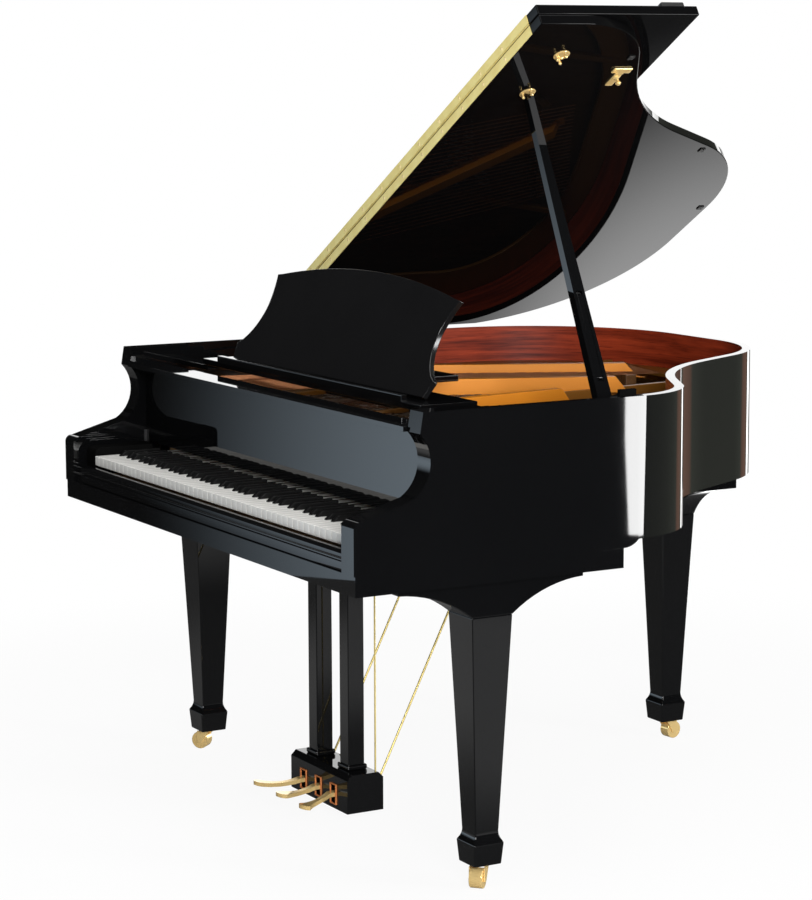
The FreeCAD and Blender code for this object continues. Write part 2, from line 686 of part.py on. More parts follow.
def black_key(note):
    """Side view: a sloping nose, a raised top in front of the fallboard and a plain tail."""
    left, right = tail_span(note)
    gap = mm("key_gap") / 2
    start = mm("key_front") + mm("head_length") + mm("key_gap")
    top = mm("key_top")
    low = top - mm("key_thickness")
    side = [(start, low), (start, top), (start + mm("sharp_slope"), top + mm("sharp_rise")),
            (mm("sharp_back"), top + mm("sharp_rise")), (mm("sharp_back"), top), (mm("key_back"), top),
            (mm("key_back"), low)]
    corners = [Vector(left + gap, depth, height) for depth, height in side]
    return prism(corners, Vector(right - left - 2 * gap, 0, 0))


def keys():
    whites = [white_key(note) for note in range(all_notes) if not is_black(note)]
    blacks = [black_key(note) for note in range(all_notes) if is_black(note)]
    solid("white_keys", Part.makeCompound(whites))
    solid("black_keys", Part.makeCompound(blacks))


def hammer(note):
    """A shank on its flange pin with the felt head at its end, dropped to rest."""
    left, right = tail_span(note)
    middle = (left + right) / 2
    half = mm("shank") / 2
    depth = mm("hammer_pivot")
    height = mm("hammer_pivot_height")
    reach = mm("hammer_reach")
    nose = mm("hammer_length") / 2
    top = mm("hammer_height")
    side = [(-half, -half), (reach + nose, -half), (reach + nose, top - nose), (reach, top),
            (reach - nose, top - nose), (reach - nose, half), (-half, half)]
    corners = [Vector(middle - mm("hammer_width") / 2, depth + run, height + rise) for run, rise in side]
    shape = prism(corners, Vector(mm("hammer_width"), 0, 0))
    shape.rotate(Vector(0, depth, height), Vector(1, 0, 0), -mm("hammer_drop"))
    return shape


def hammers():
    whites = [hammer(note) for note in range(all_notes) if not is_black(note)]
    blacks = [hammer(note) for note in range(all_notes) if is_black(note)]
    solid("white_key_hammers", Part.makeCompound(whites))
    solid("black_key_hammers", Part.makeCompound(blacks))


def key_frame():
    keyboard_half = f"{white_keys} / 2 * white_pitch"
    low = "keybed_top + rail_gap"
    seat = "key_top - key_thickness - rail_gap - keybed_top - rail_gap"
    front = block("front_rail", "-" + keyboard_half, "frame_front", low, "2 * " + keyboard_half, "frame_rail",
                  "(" + seat + ") / 2")
    balance = block("balance_rail", "-action_half", "balance_pin - frame_rail / 2", low, "2 * action_half",
                    "frame_rail", seat + " - balance_ridge")
    between = "(action_half - bracket_thickness)"
    ridge = block("balance_ridge", "-" + between, "balance_pin - balance_ridge / 2", low, "2 * " + between,
                  "balance_ridge", seat)
    back = block("back_rail", "-" + between, "back_rail", low, "2 * " + between, "frame_rail", seat)
    stile = "keyboard_stile"
    depth = "back_rail - frame_front"
    middle = block(stile, "-frame_rail", "frame_front", low, "2 * frame_rail", depth, "frame_rail / 2")
    node("key_frame", join("key_frame", [front, balance, ridge, back, middle]))


def action_frame():
    """End brackets on the key frame carry the hammer rail and the rest rail."""
    foot = "key_top - key_thickness - rail_gap - balance_ridge"
    rail_back = "hammer_pivot - shank / 2 * (cos(hammer_drop) + sin(hammer_drop)) - rail_gap"
    top = "hammer_pivot_height + shank"
    brackets = mirrored_blocks("action_brackets", "action_half - bracket_thickness",
                               "balance_pin - frame_rail / 2", foot, "bracket_thickness",
                               "back_rail + frame_rail - balance_pin + frame_rail / 2", f"{top} - ({foot})")
    rail = block("hammer_rail", "-action_half", rail_back + " - frame_rail / 2", top + " - 2 * shank",
                 "2 * action_half", "frame_rail / 2", "2 * shank")
    rest_back = "hammer_pivot + rest_reach"
    rest_top = "hammer_pivot_height - rest_reach * tan(hammer_drop) - shank"
    rest = block("rest_rail", "-action_half", rest_back + " - frame_rail / 2", rest_top + " - shank * 2",
                 "2 * action_half", "frame_rail / 2", "shank * 2")
    node("action_frame", join("action_frame", [brackets, rail, rest]))


# Fallboard


def cross_rod(name, x, y, z, radius, length):
    rod = doc.addObject("Part::Cylinder", name)
    rod.Placement = Placement(Vector(), Rotation(Vector(0, 1, 0), 90))
    bind(rod, Radius=radius, Height=length)
    place(rod, x, y, z)
    return rod


def fallboard():
    back = "fallboard_face + fallboard_thickness"
    lip = "fallboard_face - fallboard_lip"
    under = "fallboard_top - fallboard_lip_thickness"
    points = [("fallboard_face", "fallboard_bottom"), (back, "fallboard_bottom"), (back, "fallboard_top"),
              (lip, "fallboard_top"), (lip, under), ("fallboard_face", under)]
    board = profile_body("fallboard_board", points, "-fallboard_half", "2 * fallboard_half")
    bores = []
    for side, start in (("treble", "fallboard_half - pivot_pin_length"), ("bass", "-fallboard_half")):
        bores.append(cross_rod("bore_" + side, start, "pivot_depth", "pivot_height", "pivot_pin + pivot_fit",
                               "pivot_pin_length"))
    node("fallboard", cut("fallboard", board, join("fallboard_bores", bores)))


def fallboard_pivots():
    """A brass plate on each arm with the pin that the fallboard turns on."""
    arm = "case_width / 2 - arm_width"
    pin_end = "fallboard_half - pivot_pin_length + rail_gap"
    plates = mirrored_blocks("pivot_plates", arm + " - pivot_plate", "pivot_depth - pivot_plate_size / 2",
                             "pivot_height - pivot_plate_size / 2", "pivot_plate", "pivot_plate_size",
                             "pivot_plate_size")
    length = f"{arm} - ({pin_end})"
    pins = [cross_rod("pivot_pin_treble", pin_end, "pivot_depth", "pivot_height", "pivot_pin", length),
            cross_rod("pivot_pin_bass", f"-({arm})", "pivot_depth", "pivot_height", "pivot_pin", length)]
    node("fallboard_pivots", join("fallboard_pivots", [plates] + pins))


# Music shelf, desk and strut


def shelf_rails():
    """Cross pieces on the arms and runners that the shelf slides on."""
    end = "case_width / 2 - arm_width - glue_gap"
    low = "shelf_top - shelf_thickness - rail_gap - rail_height"
    inside = f"{end} - rail_width"
    cross = mirrored_blocks("shelf_cross", inside, "arm_depth - cross_depth", low, "rail_width", "cross_depth",
                            "rail_height")
    runners = mirrored_blocks("shelf_runner", inside, "arm_depth", low, "frame_rail",
                              "belly_front - arm_depth", "rail_height")
    node("shelf_rails", join("shelf_rails", [cross, runners]))


def music_shelf():
    """A board across the arms with a tongue behind it, slotted for the foot of the strut."""
    wings = block("shelf_wings", "-shelf_half", "shelf_front", "shelf_top - shelf_thickness", "2 * shelf_half",
                  "wing_back - shelf_front", "shelf_thickness")
    tongue = block("shelf_tongue", "-tongue_half", "shelf_front", "shelf_top - shelf_thickness", "2 * tongue_half",
                   "shelf_back - shelf_front", "shelf_thickness")
    board = join("shelf_board", [wings, tongue])
    slot = block("shelf_slot", "-shelf_slot_half", "slot_front", "shelf_top - shelf_thickness",
                 "2 * shelf_slot_half", "slot_back - slot_front", "shelf_thickness")
    ledge = block("desk_ledge", "-ledge_half", "shelf_front", "shelf_top", "2 * ledge_half", "ledge_depth",
                  "ledge_height")
    node("music_shelf", join("music_shelf", [cut("shelf_frame", board, slot), ledge]))


def desk_frame():
    """Placement of the tilted desk: X along its hinge, Z up the board, Y out of its back."""
    base = Vector(0, mm("desk_hinge") - mm("case_length") / 2, mm("shelf_top") + mm("desk_hinge_rise"))
    return Placement(base, Rotation(Vector(-1, 0, 0), mm("desk_tilt")))


def music_desk():
    """A board with hollow flanks, small ears and an arched top."""

    def at(name, side=1):
        height = 0 if name == "desk_foot" else mm(name + "_height")
        return Vector(side * mm(name), -mm("desk_thickness"), height)

    half = [[at("desk_foot"), at("desk_horn")], [at("desk_horn"), at("desk_neck")],
            [at("desk_neck"), at("desk_hip"), at("desk_waist")],
            [at("desk_waist"), at("desk_flank"), at("desk_ear")], [at("desk_ear"), at("desk_shoulder")]]
    other = [[Vector(-p.x, p.y, p.z) for p in reversed(run)] for run in reversed(half)]
    crown = [at("desk_shoulder"), Vector(0, -mm("desk_thickness"), mm("desk_height")), at("desk_shoulder", -1)]
    foot = [at("desk_foot", -1), at("desk_foot")]
    face = Part.Face(chain(*half, crown, *other, foot))
    solid("music_desk", face.extrude(Vector(0, mm("desk_thickness"), 0)), desk_frame())


def desk_strut():
    """A prop hinged behind the desk, whose foot slides back along the shelf as the desk folds."""
    board = mm("strut_board")
    half = mm("strut_half")
    shape = box(-half, -board / 2, -mm("strut_length"), 2 * half, board, mm("strut_length"))
    shape = shape.fuse(Part.makeCylinder(board / 2, 2 * half, Vector(-half, 0, 0), Vector(1, 0, 0)))
    hinge = Vector(0, board / 2 + mm("rail_gap"), mm("strut_pivot"))
    turn = Placement(hinge, Rotation(Vector(1, 0, 0), mm("strut_lean")))
    solid("desk_strut", shape.removeSplitter(), desk_frame().multiply(turn))


# Lid: its pieces are drawn along the lid, out from the hinge axis and up from its underside


def lid_frame():
    base = Vector(-mm("case_width") / 2 - mm("hinge_out"), -mm("case_length") / 2, mm("rim_top") + mm("hinge_rise"))
    return Placement(base, Rotation(Vector(0, -1, 0), mm("lid_open")))


def flap_axis():
    return (mm("lid_front") - mm("leaf") - mm("leaf_gap"),
            mm("lid_lift") + mm("lid_thickness") + mm("flap_gap") / 2)


def flap_frame():
    """The flap is folded over on top of the lid, half a turn about the long hinge."""
    depth, height = flap_axis()
    fold = Placement(Vector(), Rotation(Vector(1, 0, 0), 180), Vector(0, depth, height))
    return lid_frame().multiply(fold)


def lid_reach():
    return mm("case_width") + mm("hinge_out") + mm("lid_overhang")


def lid_main():
    slab = case_slab(-mm("lid_overhang"), mm("lid_front"), mm("lid_lift"), mm("lid_thickness"))
    slab.translate(Vector(mm("case_width") / 2 + mm("hinge_out"), 0, 0))
    room = box(mm("hinge_out"), 0, 0, lid_reach(), mm("case_length") * 2, mm("rim_top"))
    solid("lid_main", slab.common(room), lid_frame())


def flap_back():
    return 2 * flap_axis()[0] - mm("lid_front")


def lid_flap():
    board = box(mm("hinge_out"), mm("flap_front"), mm("lid_lift"), lid_reach() - mm("hinge_out"),
                flap_back() - mm("flap_front"), mm("lid_thickness"))
    solid("lid_flap", board, flap_frame())


def flap_hinge():
    """Two long brass leaves on the facing edges of lid and flap, with the pin between them."""
    start = mm("hinge_out") + mm("leaf_margin")
    length = lid_reach() - mm("leaf_margin") - start
    height = mm("lid_thickness") - mm("leaf_short")
    lid_leaf = box(start, mm("lid_front") - mm("leaf"), mm("lid_lift"), length, mm("leaf"), height)
    depth, rise = flap_axis()
    pin = Part.makeCylinder(mm("knuckle"), length, Vector(start, depth, rise), Vector(1, 0, 0))
    solid("flap_hinge_lid_leaf", Part.makeCompound([lid_leaf, pin]), lid_frame())
    solid("flap_hinge_flap_leaf", box(start, flap_back(), mm("lid_lift"), length, mm("leaf"), height), flap_frame())


def butt_places():
    return (mm("butt_first"), mm("butt_second"))


def knuckle(start, length, radius):
    return Part.makeCylinder(radius, length, Vector(0, start, 0), Vector(0, 1, 0))


def lid_hinges():
    """Two butt hinges on the spine: the case leaf carries the pin and the outer knuckles."""
    length = mm("butt_length")
    third = length / 3
    gap = mm("rail_gap")
    radius = mm("butt_knuckle")
    clear = radius + gap
    near = mm("hinge_out") - mm("butt_leaf")
    case_leaves, lid_leaves = [], []
    for start in butt_places():
        case_leaf = box(near, start, -mm("butt_height"), mm("butt_leaf"), length, mm("butt_height") - clear)
        for end in (start, start + 2 * third):
            neck = box(near, end, -clear, mm("butt_leaf"), third, clear)
            case_leaf = case_leaf.fuse([neck, knuckle(end, third, radius)])
        case_leaves.append(case_leaf.fuse(knuckle(start, length, mm("butt_pin"))).removeSplitter())
        lid_leaf = box(near, start, clear, mm("butt_leaf"), length, mm("lid_thickness") - clear)
        middle = start + third + gap
        neck = box(near, middle, 0, mm("butt_leaf"), third - 2 * gap, clear)
        lid_leaf = lid_leaf.fuse([neck, knuckle(middle, third - 2 * gap, radius)])
        lid_leaves.append(lid_leaf.cut(knuckle(start, length, mm("butt_pin") + mm("pivot_fit"))).removeSplitter())
    closed = Placement(lid_frame().Base, Rotation())
    solid("lid_hinge_case_leaves", Part.makeCompound(case_leaves), closed)
    solid("lid_hinge_lid_leaves", Part.makeCompound(lid_leaves), lid_frame())


def lid_disc(place_along, depth, radius, thickness):
    return Part.makeCylinder(radius, thickness, Vector(place_along, depth, mm("lid_lift") - thickness))


def lid_pad(place_along, depth):
    size = mm("bumper_size")
    return box(place_along - size / 2, depth - size / 2, mm("lid_lift") - mm("bumper_height"), size, size,
               mm("bumper_height"))


def prop_seat():
    """Where the prop meets the lid: distance along the lid, depth, and distance from the pivot."""
    turn = math.radians(mm("lid_open"))
    out = mm("prop_x") + mm("case_width") / 2 + mm("hinge_out")
    up = mm("prop_z") - mm("rim_top") - mm("hinge_rise")
    along_lid = out * math.cos(turn) + up * math.sin(turn)
    below = out * math.sin(turn) - up * math.cos(turn)
    return along_lid, mm("prop_y") + mm("prop_lean"), below + mm("lid_lift") - mm("cup_thickness")


def lid_fittings():
    """Brass prop cups, rubber bumpers over the rim and a T-shaped latch."""
    along_lid, depth, distance = prop_seat()
    cups = [lid_disc(along_lid + step, depth, mm("cup_radius"), mm("cup_thickness"))
            for step in (0, mm("spare_cup"))]
    solid("prop_cups", Part.makeCompound(cups), lid_frame())
    over_rim = case_outline(mm("rim_wall") / 2)
    shift = mm("case_width") / 2 + mm("hinge_out")
    spots = [over_rim.Edges[index].valueAt(over_rim.Edges[index].FirstParameter) for index in (2, 5, 6)]
    bumpers = [lid_pad(spot.x + shift, spot.y) for spot in spots]
    solid("lid_bumpers", Part.makeCompound(bumpers), lid_frame())
    treble = lid_reach() - mm("lid_overhang") - mm("rim_wall") / 2
    solid("flap_bumpers", lid_pad(treble, (mm("flap_front") + mm("arm_depth")) / 2), flap_frame())
    length = mm("latch_length")
    width = mm("latch_width")
    low = mm("lid_lift") - mm("latch_thickness")
    start = lid_reach() - mm("latch_inset") - length / 2
    stem = box(start, mm("latch_depth") - width / 2, low, length, width, mm("latch_thickness"))
    head = box(start + length - width, mm("latch_depth") - length / 3, low, width, length * 2 / 3,
               mm("latch_thickness"))
    solid("lid_latch", stem.fuse(head).removeSplitter(), lid_frame())


# Prop: drawn up its own length from the pivot, with X facing the treble side


def prop_directions():
    """Unit vectors of the raised stick, the stowed stick and the pivot they turn about."""
    turn = math.radians(mm("lid_open"))
    distance = prop_seat()[2]
    raised = Vector(-math.sin(turn) * distance, mm("prop_lean"), math.cos(turn) * distance).normalize()
    stow = math.radians(mm("stow_turn"))
    stowed = Vector(-math.sin(stow), math.cos(stow), 0)
    return raised, stowed, raised.cross(stowed).normalize()


def prop_frame():
    raised = prop_directions()[0]
    outward = (Vector(1, 0, 0) - raised * raised.x).normalize()
    sideways = raised.cross(outward)
    base = Vector(mm("prop_x"), mm("prop_y") - mm("case_length") / 2, mm("prop_z"))
    return Placement(base, Rotation(outward, sideways, raised, "ZXY"))


def prop_length():
    """From the pivot to the centre of the round tip."""
    distance = prop_seat()[2]
    slant = math.hypot(distance, mm("prop_lean")) / distance
    return (distance - mm("prop_tip") - mm("prop_tip_gap")) * slant


def taper(outlines):
    """The space shared by two upright prisms, each given by half its outline as (half width, height)."""
    prisms = []
    for axis, half in enumerate(outlines):
        deep = max(width for width, height in outlines[1 - axis])
        rows = half + [(-width, height) for width, height in reversed(half)]
        corners = [Vector(-deep, width, height) if axis else Vector(width, -deep, height) for width, height in rows]
        prisms.append(prism(corners, Vector(2 * deep, 0, 0) if axis else Vector(0, 2 * deep, 0)))
    return prisms[0].common(prisms[1])


def prop_long():
    frame = prop_frame()
    length = prop_length()
    tip = mm("prop_tip")
    heel = -mm("prop_heel")
    stick = taper([[(mm("prop_thick") / 2, heel), (tip, length)], [(mm("prop_width") / 2, heel), (tip, length)]])
    stick = stick.fuse(Part.makeCylinder(tip, 2 * tip, Vector(0, -tip, length), Vector(0, 1, 0)))
    slot = box(mm("prop_thick") / 2 - mm("slot_depth"), -mm("slot_width") / 2, mm("slot_low"), mm("prop_thick"),
               mm("slot_width"), mm("slot_length"))
    axis = frame.Rotation.inverted().multVec(prop_directions()[2])
    bore = Part.makeCylinder(mm("prop_pin") + mm("prop_pin_fit"), 4 * mm("prop_width"),
                             axis * (-2 * mm("prop_width")), axis)
    solid("prop_long", stick.cut([slot, bore]), frame)


def prop_short():
    """A short stick that rests in the long one's slot and swings out for a low lid."""
    face = mm("prop_thick") / 2 - mm("slot_depth") + mm("rail_gap")
    stick = box(face, -mm("short_width") / 2, mm("short_low"), mm("short_thick"), mm("short_width"),
                mm("short_length"))
    solid("prop_short", stick, prop_frame())


def prop_bracket():
    """A plate on the rim's inner face with the slanting pin of the prop."""
    axis = prop_directions()[2] * -1
    pivot = Vector(mm("prop_x"), mm("prop_y"), mm("prop_z"))
    wall = mm("case_width") / 2 - mm("rim_wall") - mm("glue_gap")
    plate_x = wall - mm("prop_plate")
    reach = (wall - mm("prop_plate") / 2 - pivot.x) / axis.x
    pin = Part.makeCylinder(mm("prop_pin"), reach + mm("prop_thick"), pivot - axis * mm("prop_thick"), axis)
    start = mm("prop_collar_start")
    collar = Part.makeCylinder(mm("prop_collar"), reach - start, pivot + axis * start, axis)
    end = pivot + axis * reach
    width = mm("prop_plate_width")
    height = mm("prop_plate_height")
    plate = box(plate_x, end.y - width / 2, end.z - height / 2, mm("prop_plate"), width, height)
    outside = box(wall, 0, 0, mm("case_width"), mm("case_length"), 2 * mm("rim_top"))
    solid("prop_bracket", plate.fuse([pin, collar]).cut(outside).removeSplitter())


# Legs and casters


def leg_top():
    return mm("keybed_top") - mm("keybed_thickness") - mm("cuff_height")


def leg(label, x, y):
    """A square leg tapering to a neck, with a coved flare above its spade foot."""
    deep = mm("leg_top_width") / 2
    neck, flare = mm("leg_neck_width") / 2, mm("leg_flare_width") / 2
    hollow = (neck + flare) / 2 - mm("foot_cove")
    hollow_height = (mm("leg_neck") + mm("leg_flare")) / 2
    foot = mm("leg_foot_width") / 2

    def at(side, width, height):
        return Vector(side * width, -deep, height)

    runs = []
    for side in (1, -1):
        run = [(at(side, deep, leg_top()), at(side, neck, mm("leg_neck"))),
               (at(side, neck, mm("leg_neck")), at(side, hollow, hollow_height), at(side, flare, mm("leg_flare"))),
               (at(side, flare, mm("leg_flare")), at(side, foot, mm("leg_bottom")))]
        runs += run if side > 0 else [points[::-1] for points in reversed(run)]
    runs.insert(3, (at(1, foot, mm("leg_bottom")), at(-1, foot, mm("leg_bottom"))))
    runs.append((at(-1, deep, leg_top()), at(1, deep, leg_top())))
    across = Part.Face(chain(*runs)).extrude(Vector(0, 2 * deep, 0))
    along_case = across.copy()
    along_case.rotate(Vector(0, 0, 0), Vector(0, 0, 1), 90)
    shape = across.common(along_case)
    shape.translate(Vector(x, y, 0))
    solid(label, shape)


def cove(near, far, low, high, point):
    """An arc hollowed out between the foot and the end of a bracket."""
    middle = point((near + far) / 2, (low + high) / 2 + mm("cuff_cove"))
    return point(near, low), middle, point(far, high)


def cuff(x):
    """The bracket between a front leg and the keybed, swept out along the case on both sides."""
    top = mm("keybed_top") - mm("keybed_thickness")
    low = leg_top()
    edge = top - mm("cuff_end")
    half = mm("leg_top_width") / 2
    front, back = mm("cuff_front"), mm("cuff_back")
    near, far = mm("leg_front") - half, mm("leg_front") + half

    def at(depth, height):
        return Vector(x - half, depth, height)

    wire = chain((at(front, top), at(back, top)), (at(back, top), at(back, edge)),
                 cove(far, back, low, edge, at)[::-1], (at(far, low), at(near, low)),
                 cove(near, front, low, edge, at), (at(front, edge), at(front, top)))
    return Part.Face(wire).extrude(Vector(2 * half, 0, 0))


def tail_cuff(x, y):
    """The tail leg's bracket, swept out across the case under a board that reaches back to the rim."""
    top = mm("rim_bottom")
    under = top - mm("tail_board")
    low = leg_top()
    half = mm("leg_top_width") / 2
    reach = mm("tail_board_half")

    def at(across, height):
        return Vector(x + across, y - half, height)

    wire = chain((at(-reach, under), at(reach, under)), cove(half, reach, low, under, at)[::-1],
                 (at(half, low), at(-half, low)), cove(-half, -reach, low, under, at))
    rim_edge = mm("case_length") - mm("rim_wall") - mm("glue_gap")
    board = box(x - reach, y - half, under, 2 * reach, rim_edge - y + half, mm("tail_board"))
    return board.fuse(Part.Face(wire).extrude(Vector(0, 2 * half, 0))).removeSplitter()


def legs():
    side, front = mm("leg_half"), mm("leg_front")
    tail = mm("tail_leg_x"), mm("tail_leg_y")
    leg("bass_leg", -side, front)
    leg("treble_leg", side, front)
    leg("tail_leg", *tail)
    solid("leg_brackets", Part.makeCompound([cuff(-side), cuff(side), tail_cuff(*tail)]))


def caster_fork():
    """A swivel plate, two cheeks trailing behind it and the axle between them."""
    radius = mm("wheel_radius")
    trail = mm("fork_trail")
    top = mm("leg_bottom") - mm("rail_gap")
    under = top - mm("fork_plate")
    cheek_start = mm("wheel_width") / 2 + mm("wheel_gap")
    cheek_end = cheek_start + mm("fork_cheek")
    half = mm("fork_half")
    plate = box(-half, -half, under, 2 * half, 2 * half, mm("fork_plate"))
    axle_room = 2 * mm("axle_radius")
    side = [(-axle_room, under), (trail + axle_room, under), (trail + axle_room, radius - axle_room),
            (trail - axle_room, radius - axle_room)]
    cheeks = []
    for start in (cheek_start, -cheek_end):
        corners = [Vector(run, start, height) for run, height in side]
        cheeks.append(prism(corners, Vector(0, mm("fork_cheek"), 0)))
    axle = Part.makeCylinder(mm("axle_radius"), 2 * cheek_end, Vector(trail, -cheek_end, radius), Vector(0, 1, 0))
    return plate.fuse(cheeks + [axle]).removeSplitter()


def caster_wheel():
    radius = mm("wheel_radius")
    width = mm("wheel_width")
    start = Vector(mm("fork_trail"), -width / 2, radius)
    barrel = Part.makeCylinder(radius, width, start, Vector(0, 1, 0))
    return barrel.cut(Part.makeCylinder(mm("axle_radius") + mm("axle_fit"), width, start, Vector(0, 1, 0)))


bass_swivel, treble_swivel, tail_swivel = -140, -47, 97


def casters():
    side, front = mm("leg_half"), mm("leg_front")
    tail = mm("tail_leg_x"), mm("tail_leg_y")
    spots = {"bass": (-side, front, bass_swivel), "treble": (side, front, treble_swivel), "tail": (*tail, tail_swivel)}
    for name, (x, y, swivel) in spots.items():
        frame = Placement(Vector(x, y - mm("case_length") / 2, 0), Rotation(Vector(0, 0, 1), swivel))
        solid(name + "_caster_fork", caster_fork(), frame)
        solid(name + "_caster_wheel", caster_wheel(), frame)


# Lyre and pedals


def lyre_box():
    top = "lyre_bottom + lyre_height"
    back = "lyre_front + lyre_depth"
    points = [("lyre_front", "lyre_bottom"), (back, "lyre_bottom"), (back, top + " - lyre_chamfer"),
              (back + " - lyre_chamfer", top), ("lyre_front + lyre_chamfer", top),
              ("lyre_front", top + " - lyre_chamfer")]
    body = profile_body("lyre_body", points, "-lyre_half", "2 * lyre_half")
    slots = []
    for side in ("-1", "0", "1"):
        slots.append(block("pedal_slot", f"{side} * pedal_pitch - pedal_width / 2 - pedal_slot_fit", "lyre_front",
                           "pedal_height - pedal_slot_half", "pedal_width + 2 * pedal_slot_fit", "lyre_depth",
                           "2 * pedal_slot_half"))
    pin = cross_rod("pedal_pin", "-pedal_pitch - pedal_width", "pedal_pivot", "pedal_height", "pedal_pin",
                    "2 * (pedal_pitch + pedal_width)")
    node("lyre_box", join("lyre_box", [cut("slotted_box", body, join("pedal_slots", slots)), pin]))


def lyre_pillars():
    middle = "lyre_front + lyre_depth / 2 - pillar_size / 2"
    top = "keybed_top - keybed_thickness - lyre_block_height"
    node("lyre_pillars", mirrored_blocks("lyre_pillars", "pillar_x - pillar_size / 2", middle,
                                         "lyre_bottom + lyre_height", "pillar_size", "pillar_size",
                                         f"{top} - lyre_bottom - lyre_height"))


def lyre_top_block():
    node("lyre_top_block", block("lyre_top_block", "-lyre_block_half", "lyre_front",
                                 "keybed_top - keybed_thickness - lyre_block_height", "2 * lyre_block_half",
                                 "lyre_depth", "lyre_block_height"))


def lyre_braces():
    """Two brass rods from the back of the lyre box up to the rim braces."""
    back = mm("lyre_front") + mm("lyre_depth")
    low = Vector(mm("brace_x"), back, mm("brace_low_z"))
    high = Vector(mm("brace_x"), mm("brace_top_y"), mm("rim_bottom"))
    ahead = (high - low).normalize()
    extra = ahead * mm("brace_end")
    rod = Part.makeCylinder(mm("brace_radius"), (high - low + extra * 2).Length, low - extra, ahead)
    room = box(0, back, 0, mm("case_width"), mm("case_length"), mm("rim_bottom"))
    solid("lyre_braces", Part.makeCompound(on_both_sides(rod.common(room))))


def pedal(side):
    """A lever on the pin in the lyre box, dipping to a flared toe."""
    half = mm("pedal_width") / 2
    waist = mm("pedal_waist")
    start = side * mm("pedal_pitch")
    toe = start + side * mm("pedal_fan")
    radius = mm("pedal_tip_radius")
    tip, front = mm("pedal_tip_y"), mm("lyre_front") - mm("pedal_heel")
    back = mm("rod_depth") + mm("pedal_heel")
    thick, dip = mm("pedal_thickness"), mm("pedal_dip")
    low = mm("pedal_height") - thick / 2
    high = low + thick
    neck = (front + tip) / 2
    across = (start + toe) / 2

    def at(x, y):
        return Vector(x, y, low - dip)

    plan = chain((at(start + half, back), at(start - half, back)), (at(start - half, back), at(start - half, front)),
                 (at(start - half, front), at(across - waist, neck), at(toe - radius, tip + radius)),
                 (at(toe - radius, tip + radius), at(toe, tip), at(toe + radius, tip + radius)),
                 (at(toe + radius, tip + radius), at(across + waist, neck), at(start + half, front)),
                 (at(start + half, front), at(start + half, back)))
    reach = mm("pedal_pitch") + mm("pedal_fan") + radius

    def seen(y, z):
        return Vector(-reach, y, z)

    side_view = chain((seen(back, low), seen(front, low)),
                      (seen(front, low), seen(neck, low - dip), seen(tip, low - dip / 2)),
                      (seen(tip, low - dip / 2), seen(tip, high - dip / 2)),
                      (seen(tip, high - dip / 2), seen(neck, high - dip), seen(front, high)),
                      (seen(front, high), seen(back, high)), (seen(back, high), seen(back, low)))
    blade = Part.Face(side_view).extrude(Vector(2 * reach, 0, 0))
    lever = blade.common(Part.Face(plan).extrude(Vector(0, 0, thick + 2 * dip)))
    bore = Part.makeCylinder(mm("pedal_pin") + mm("pedal_pin_fit"), 2 * reach,
                             Vector(-reach, mm("pedal_pivot"), mm("pedal_height")), Vector(1, 0, 0))
    return lever.cut(bore)


def pedals():
    low = "pedal_height + pedal_thickness / 2 + rod_seat"
    for name, side in (("left", -1), ("middle", 0), ("right", 1)):
        solid(name + "_pedal", pedal(side))
        rod = doc.addObject("Part::Cylinder", name + "_pedal_rod")
        bind(rod, Radius="rod_radius", Height=f"keybed_top - rod_socket - ({low})")
        place(rod, f"{side} * pedal_pitch", "rod_depth", low)
        node(name + "_pedal_rod", rod)


def build():
    for make in (outer_rim, inner_rim, keybed, key_slip, key_blocks, belly_rail, rim_braces, soundboard,
                 soundboard_ribs, strung_back, keys, hammers, key_frame, action_frame, fallboard,
                 fallboard_pivots, shelf_rails, music_shelf, music_desk, desk_strut, lid_main, lid_flap,
                 flap_hinge, lid_hinges, lid_fittings, prop_long, prop_short, prop_bracket, legs, casters,
                 lyre_box, lyre_pillars, lyre_top_block, lyre_braces, pedals):
        make()
    doc.recompute()


def write_parts():
    failed = [item.Name for item in doc.Objects if {"Invalid", "Error"} & set(item.State)]
    bad = [item.Label for item in nodes if item.Shape.isNull() or not item.Shape.isValid()]
    if failed or bad:
        raise RuntimeError(f"failed objects {failed}, bad shapes {bad}")
    os.makedirs("parts", exist_ok=True)
    for item in nodes:
        item.Shape.exportStep(f"parts/{item.Label}.step")
    print(len(nodes), "nodes written")


build()
write_parts()
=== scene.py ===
import json
import math

import bmesh
import bpy
from mathutils import Matrix, Vector
from mathutils.bvhtree import BVHTree


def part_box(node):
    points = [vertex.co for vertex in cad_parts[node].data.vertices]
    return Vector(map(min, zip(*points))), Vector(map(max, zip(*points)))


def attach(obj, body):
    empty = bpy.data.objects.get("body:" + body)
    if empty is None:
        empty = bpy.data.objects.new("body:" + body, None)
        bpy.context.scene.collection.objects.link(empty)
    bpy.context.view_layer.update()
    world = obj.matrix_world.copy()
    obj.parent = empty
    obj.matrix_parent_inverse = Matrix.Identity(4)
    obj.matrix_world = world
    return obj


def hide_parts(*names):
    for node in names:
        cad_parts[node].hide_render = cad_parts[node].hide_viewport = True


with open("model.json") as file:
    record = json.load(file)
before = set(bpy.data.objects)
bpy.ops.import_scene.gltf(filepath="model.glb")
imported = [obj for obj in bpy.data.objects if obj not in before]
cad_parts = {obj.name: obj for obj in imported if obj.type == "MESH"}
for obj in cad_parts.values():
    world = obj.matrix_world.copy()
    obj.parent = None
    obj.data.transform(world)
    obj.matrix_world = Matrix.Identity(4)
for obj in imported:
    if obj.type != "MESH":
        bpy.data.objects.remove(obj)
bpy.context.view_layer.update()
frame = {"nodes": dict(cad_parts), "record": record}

scene = bpy.context.scene
nodes = frame["nodes"]
bodyOf = {name: body for body, names in frame["record"]["behaviour"]["bodies"].items() for name in names}
print("frame loaded:", len(nodes), "nodes")


# shader helpers

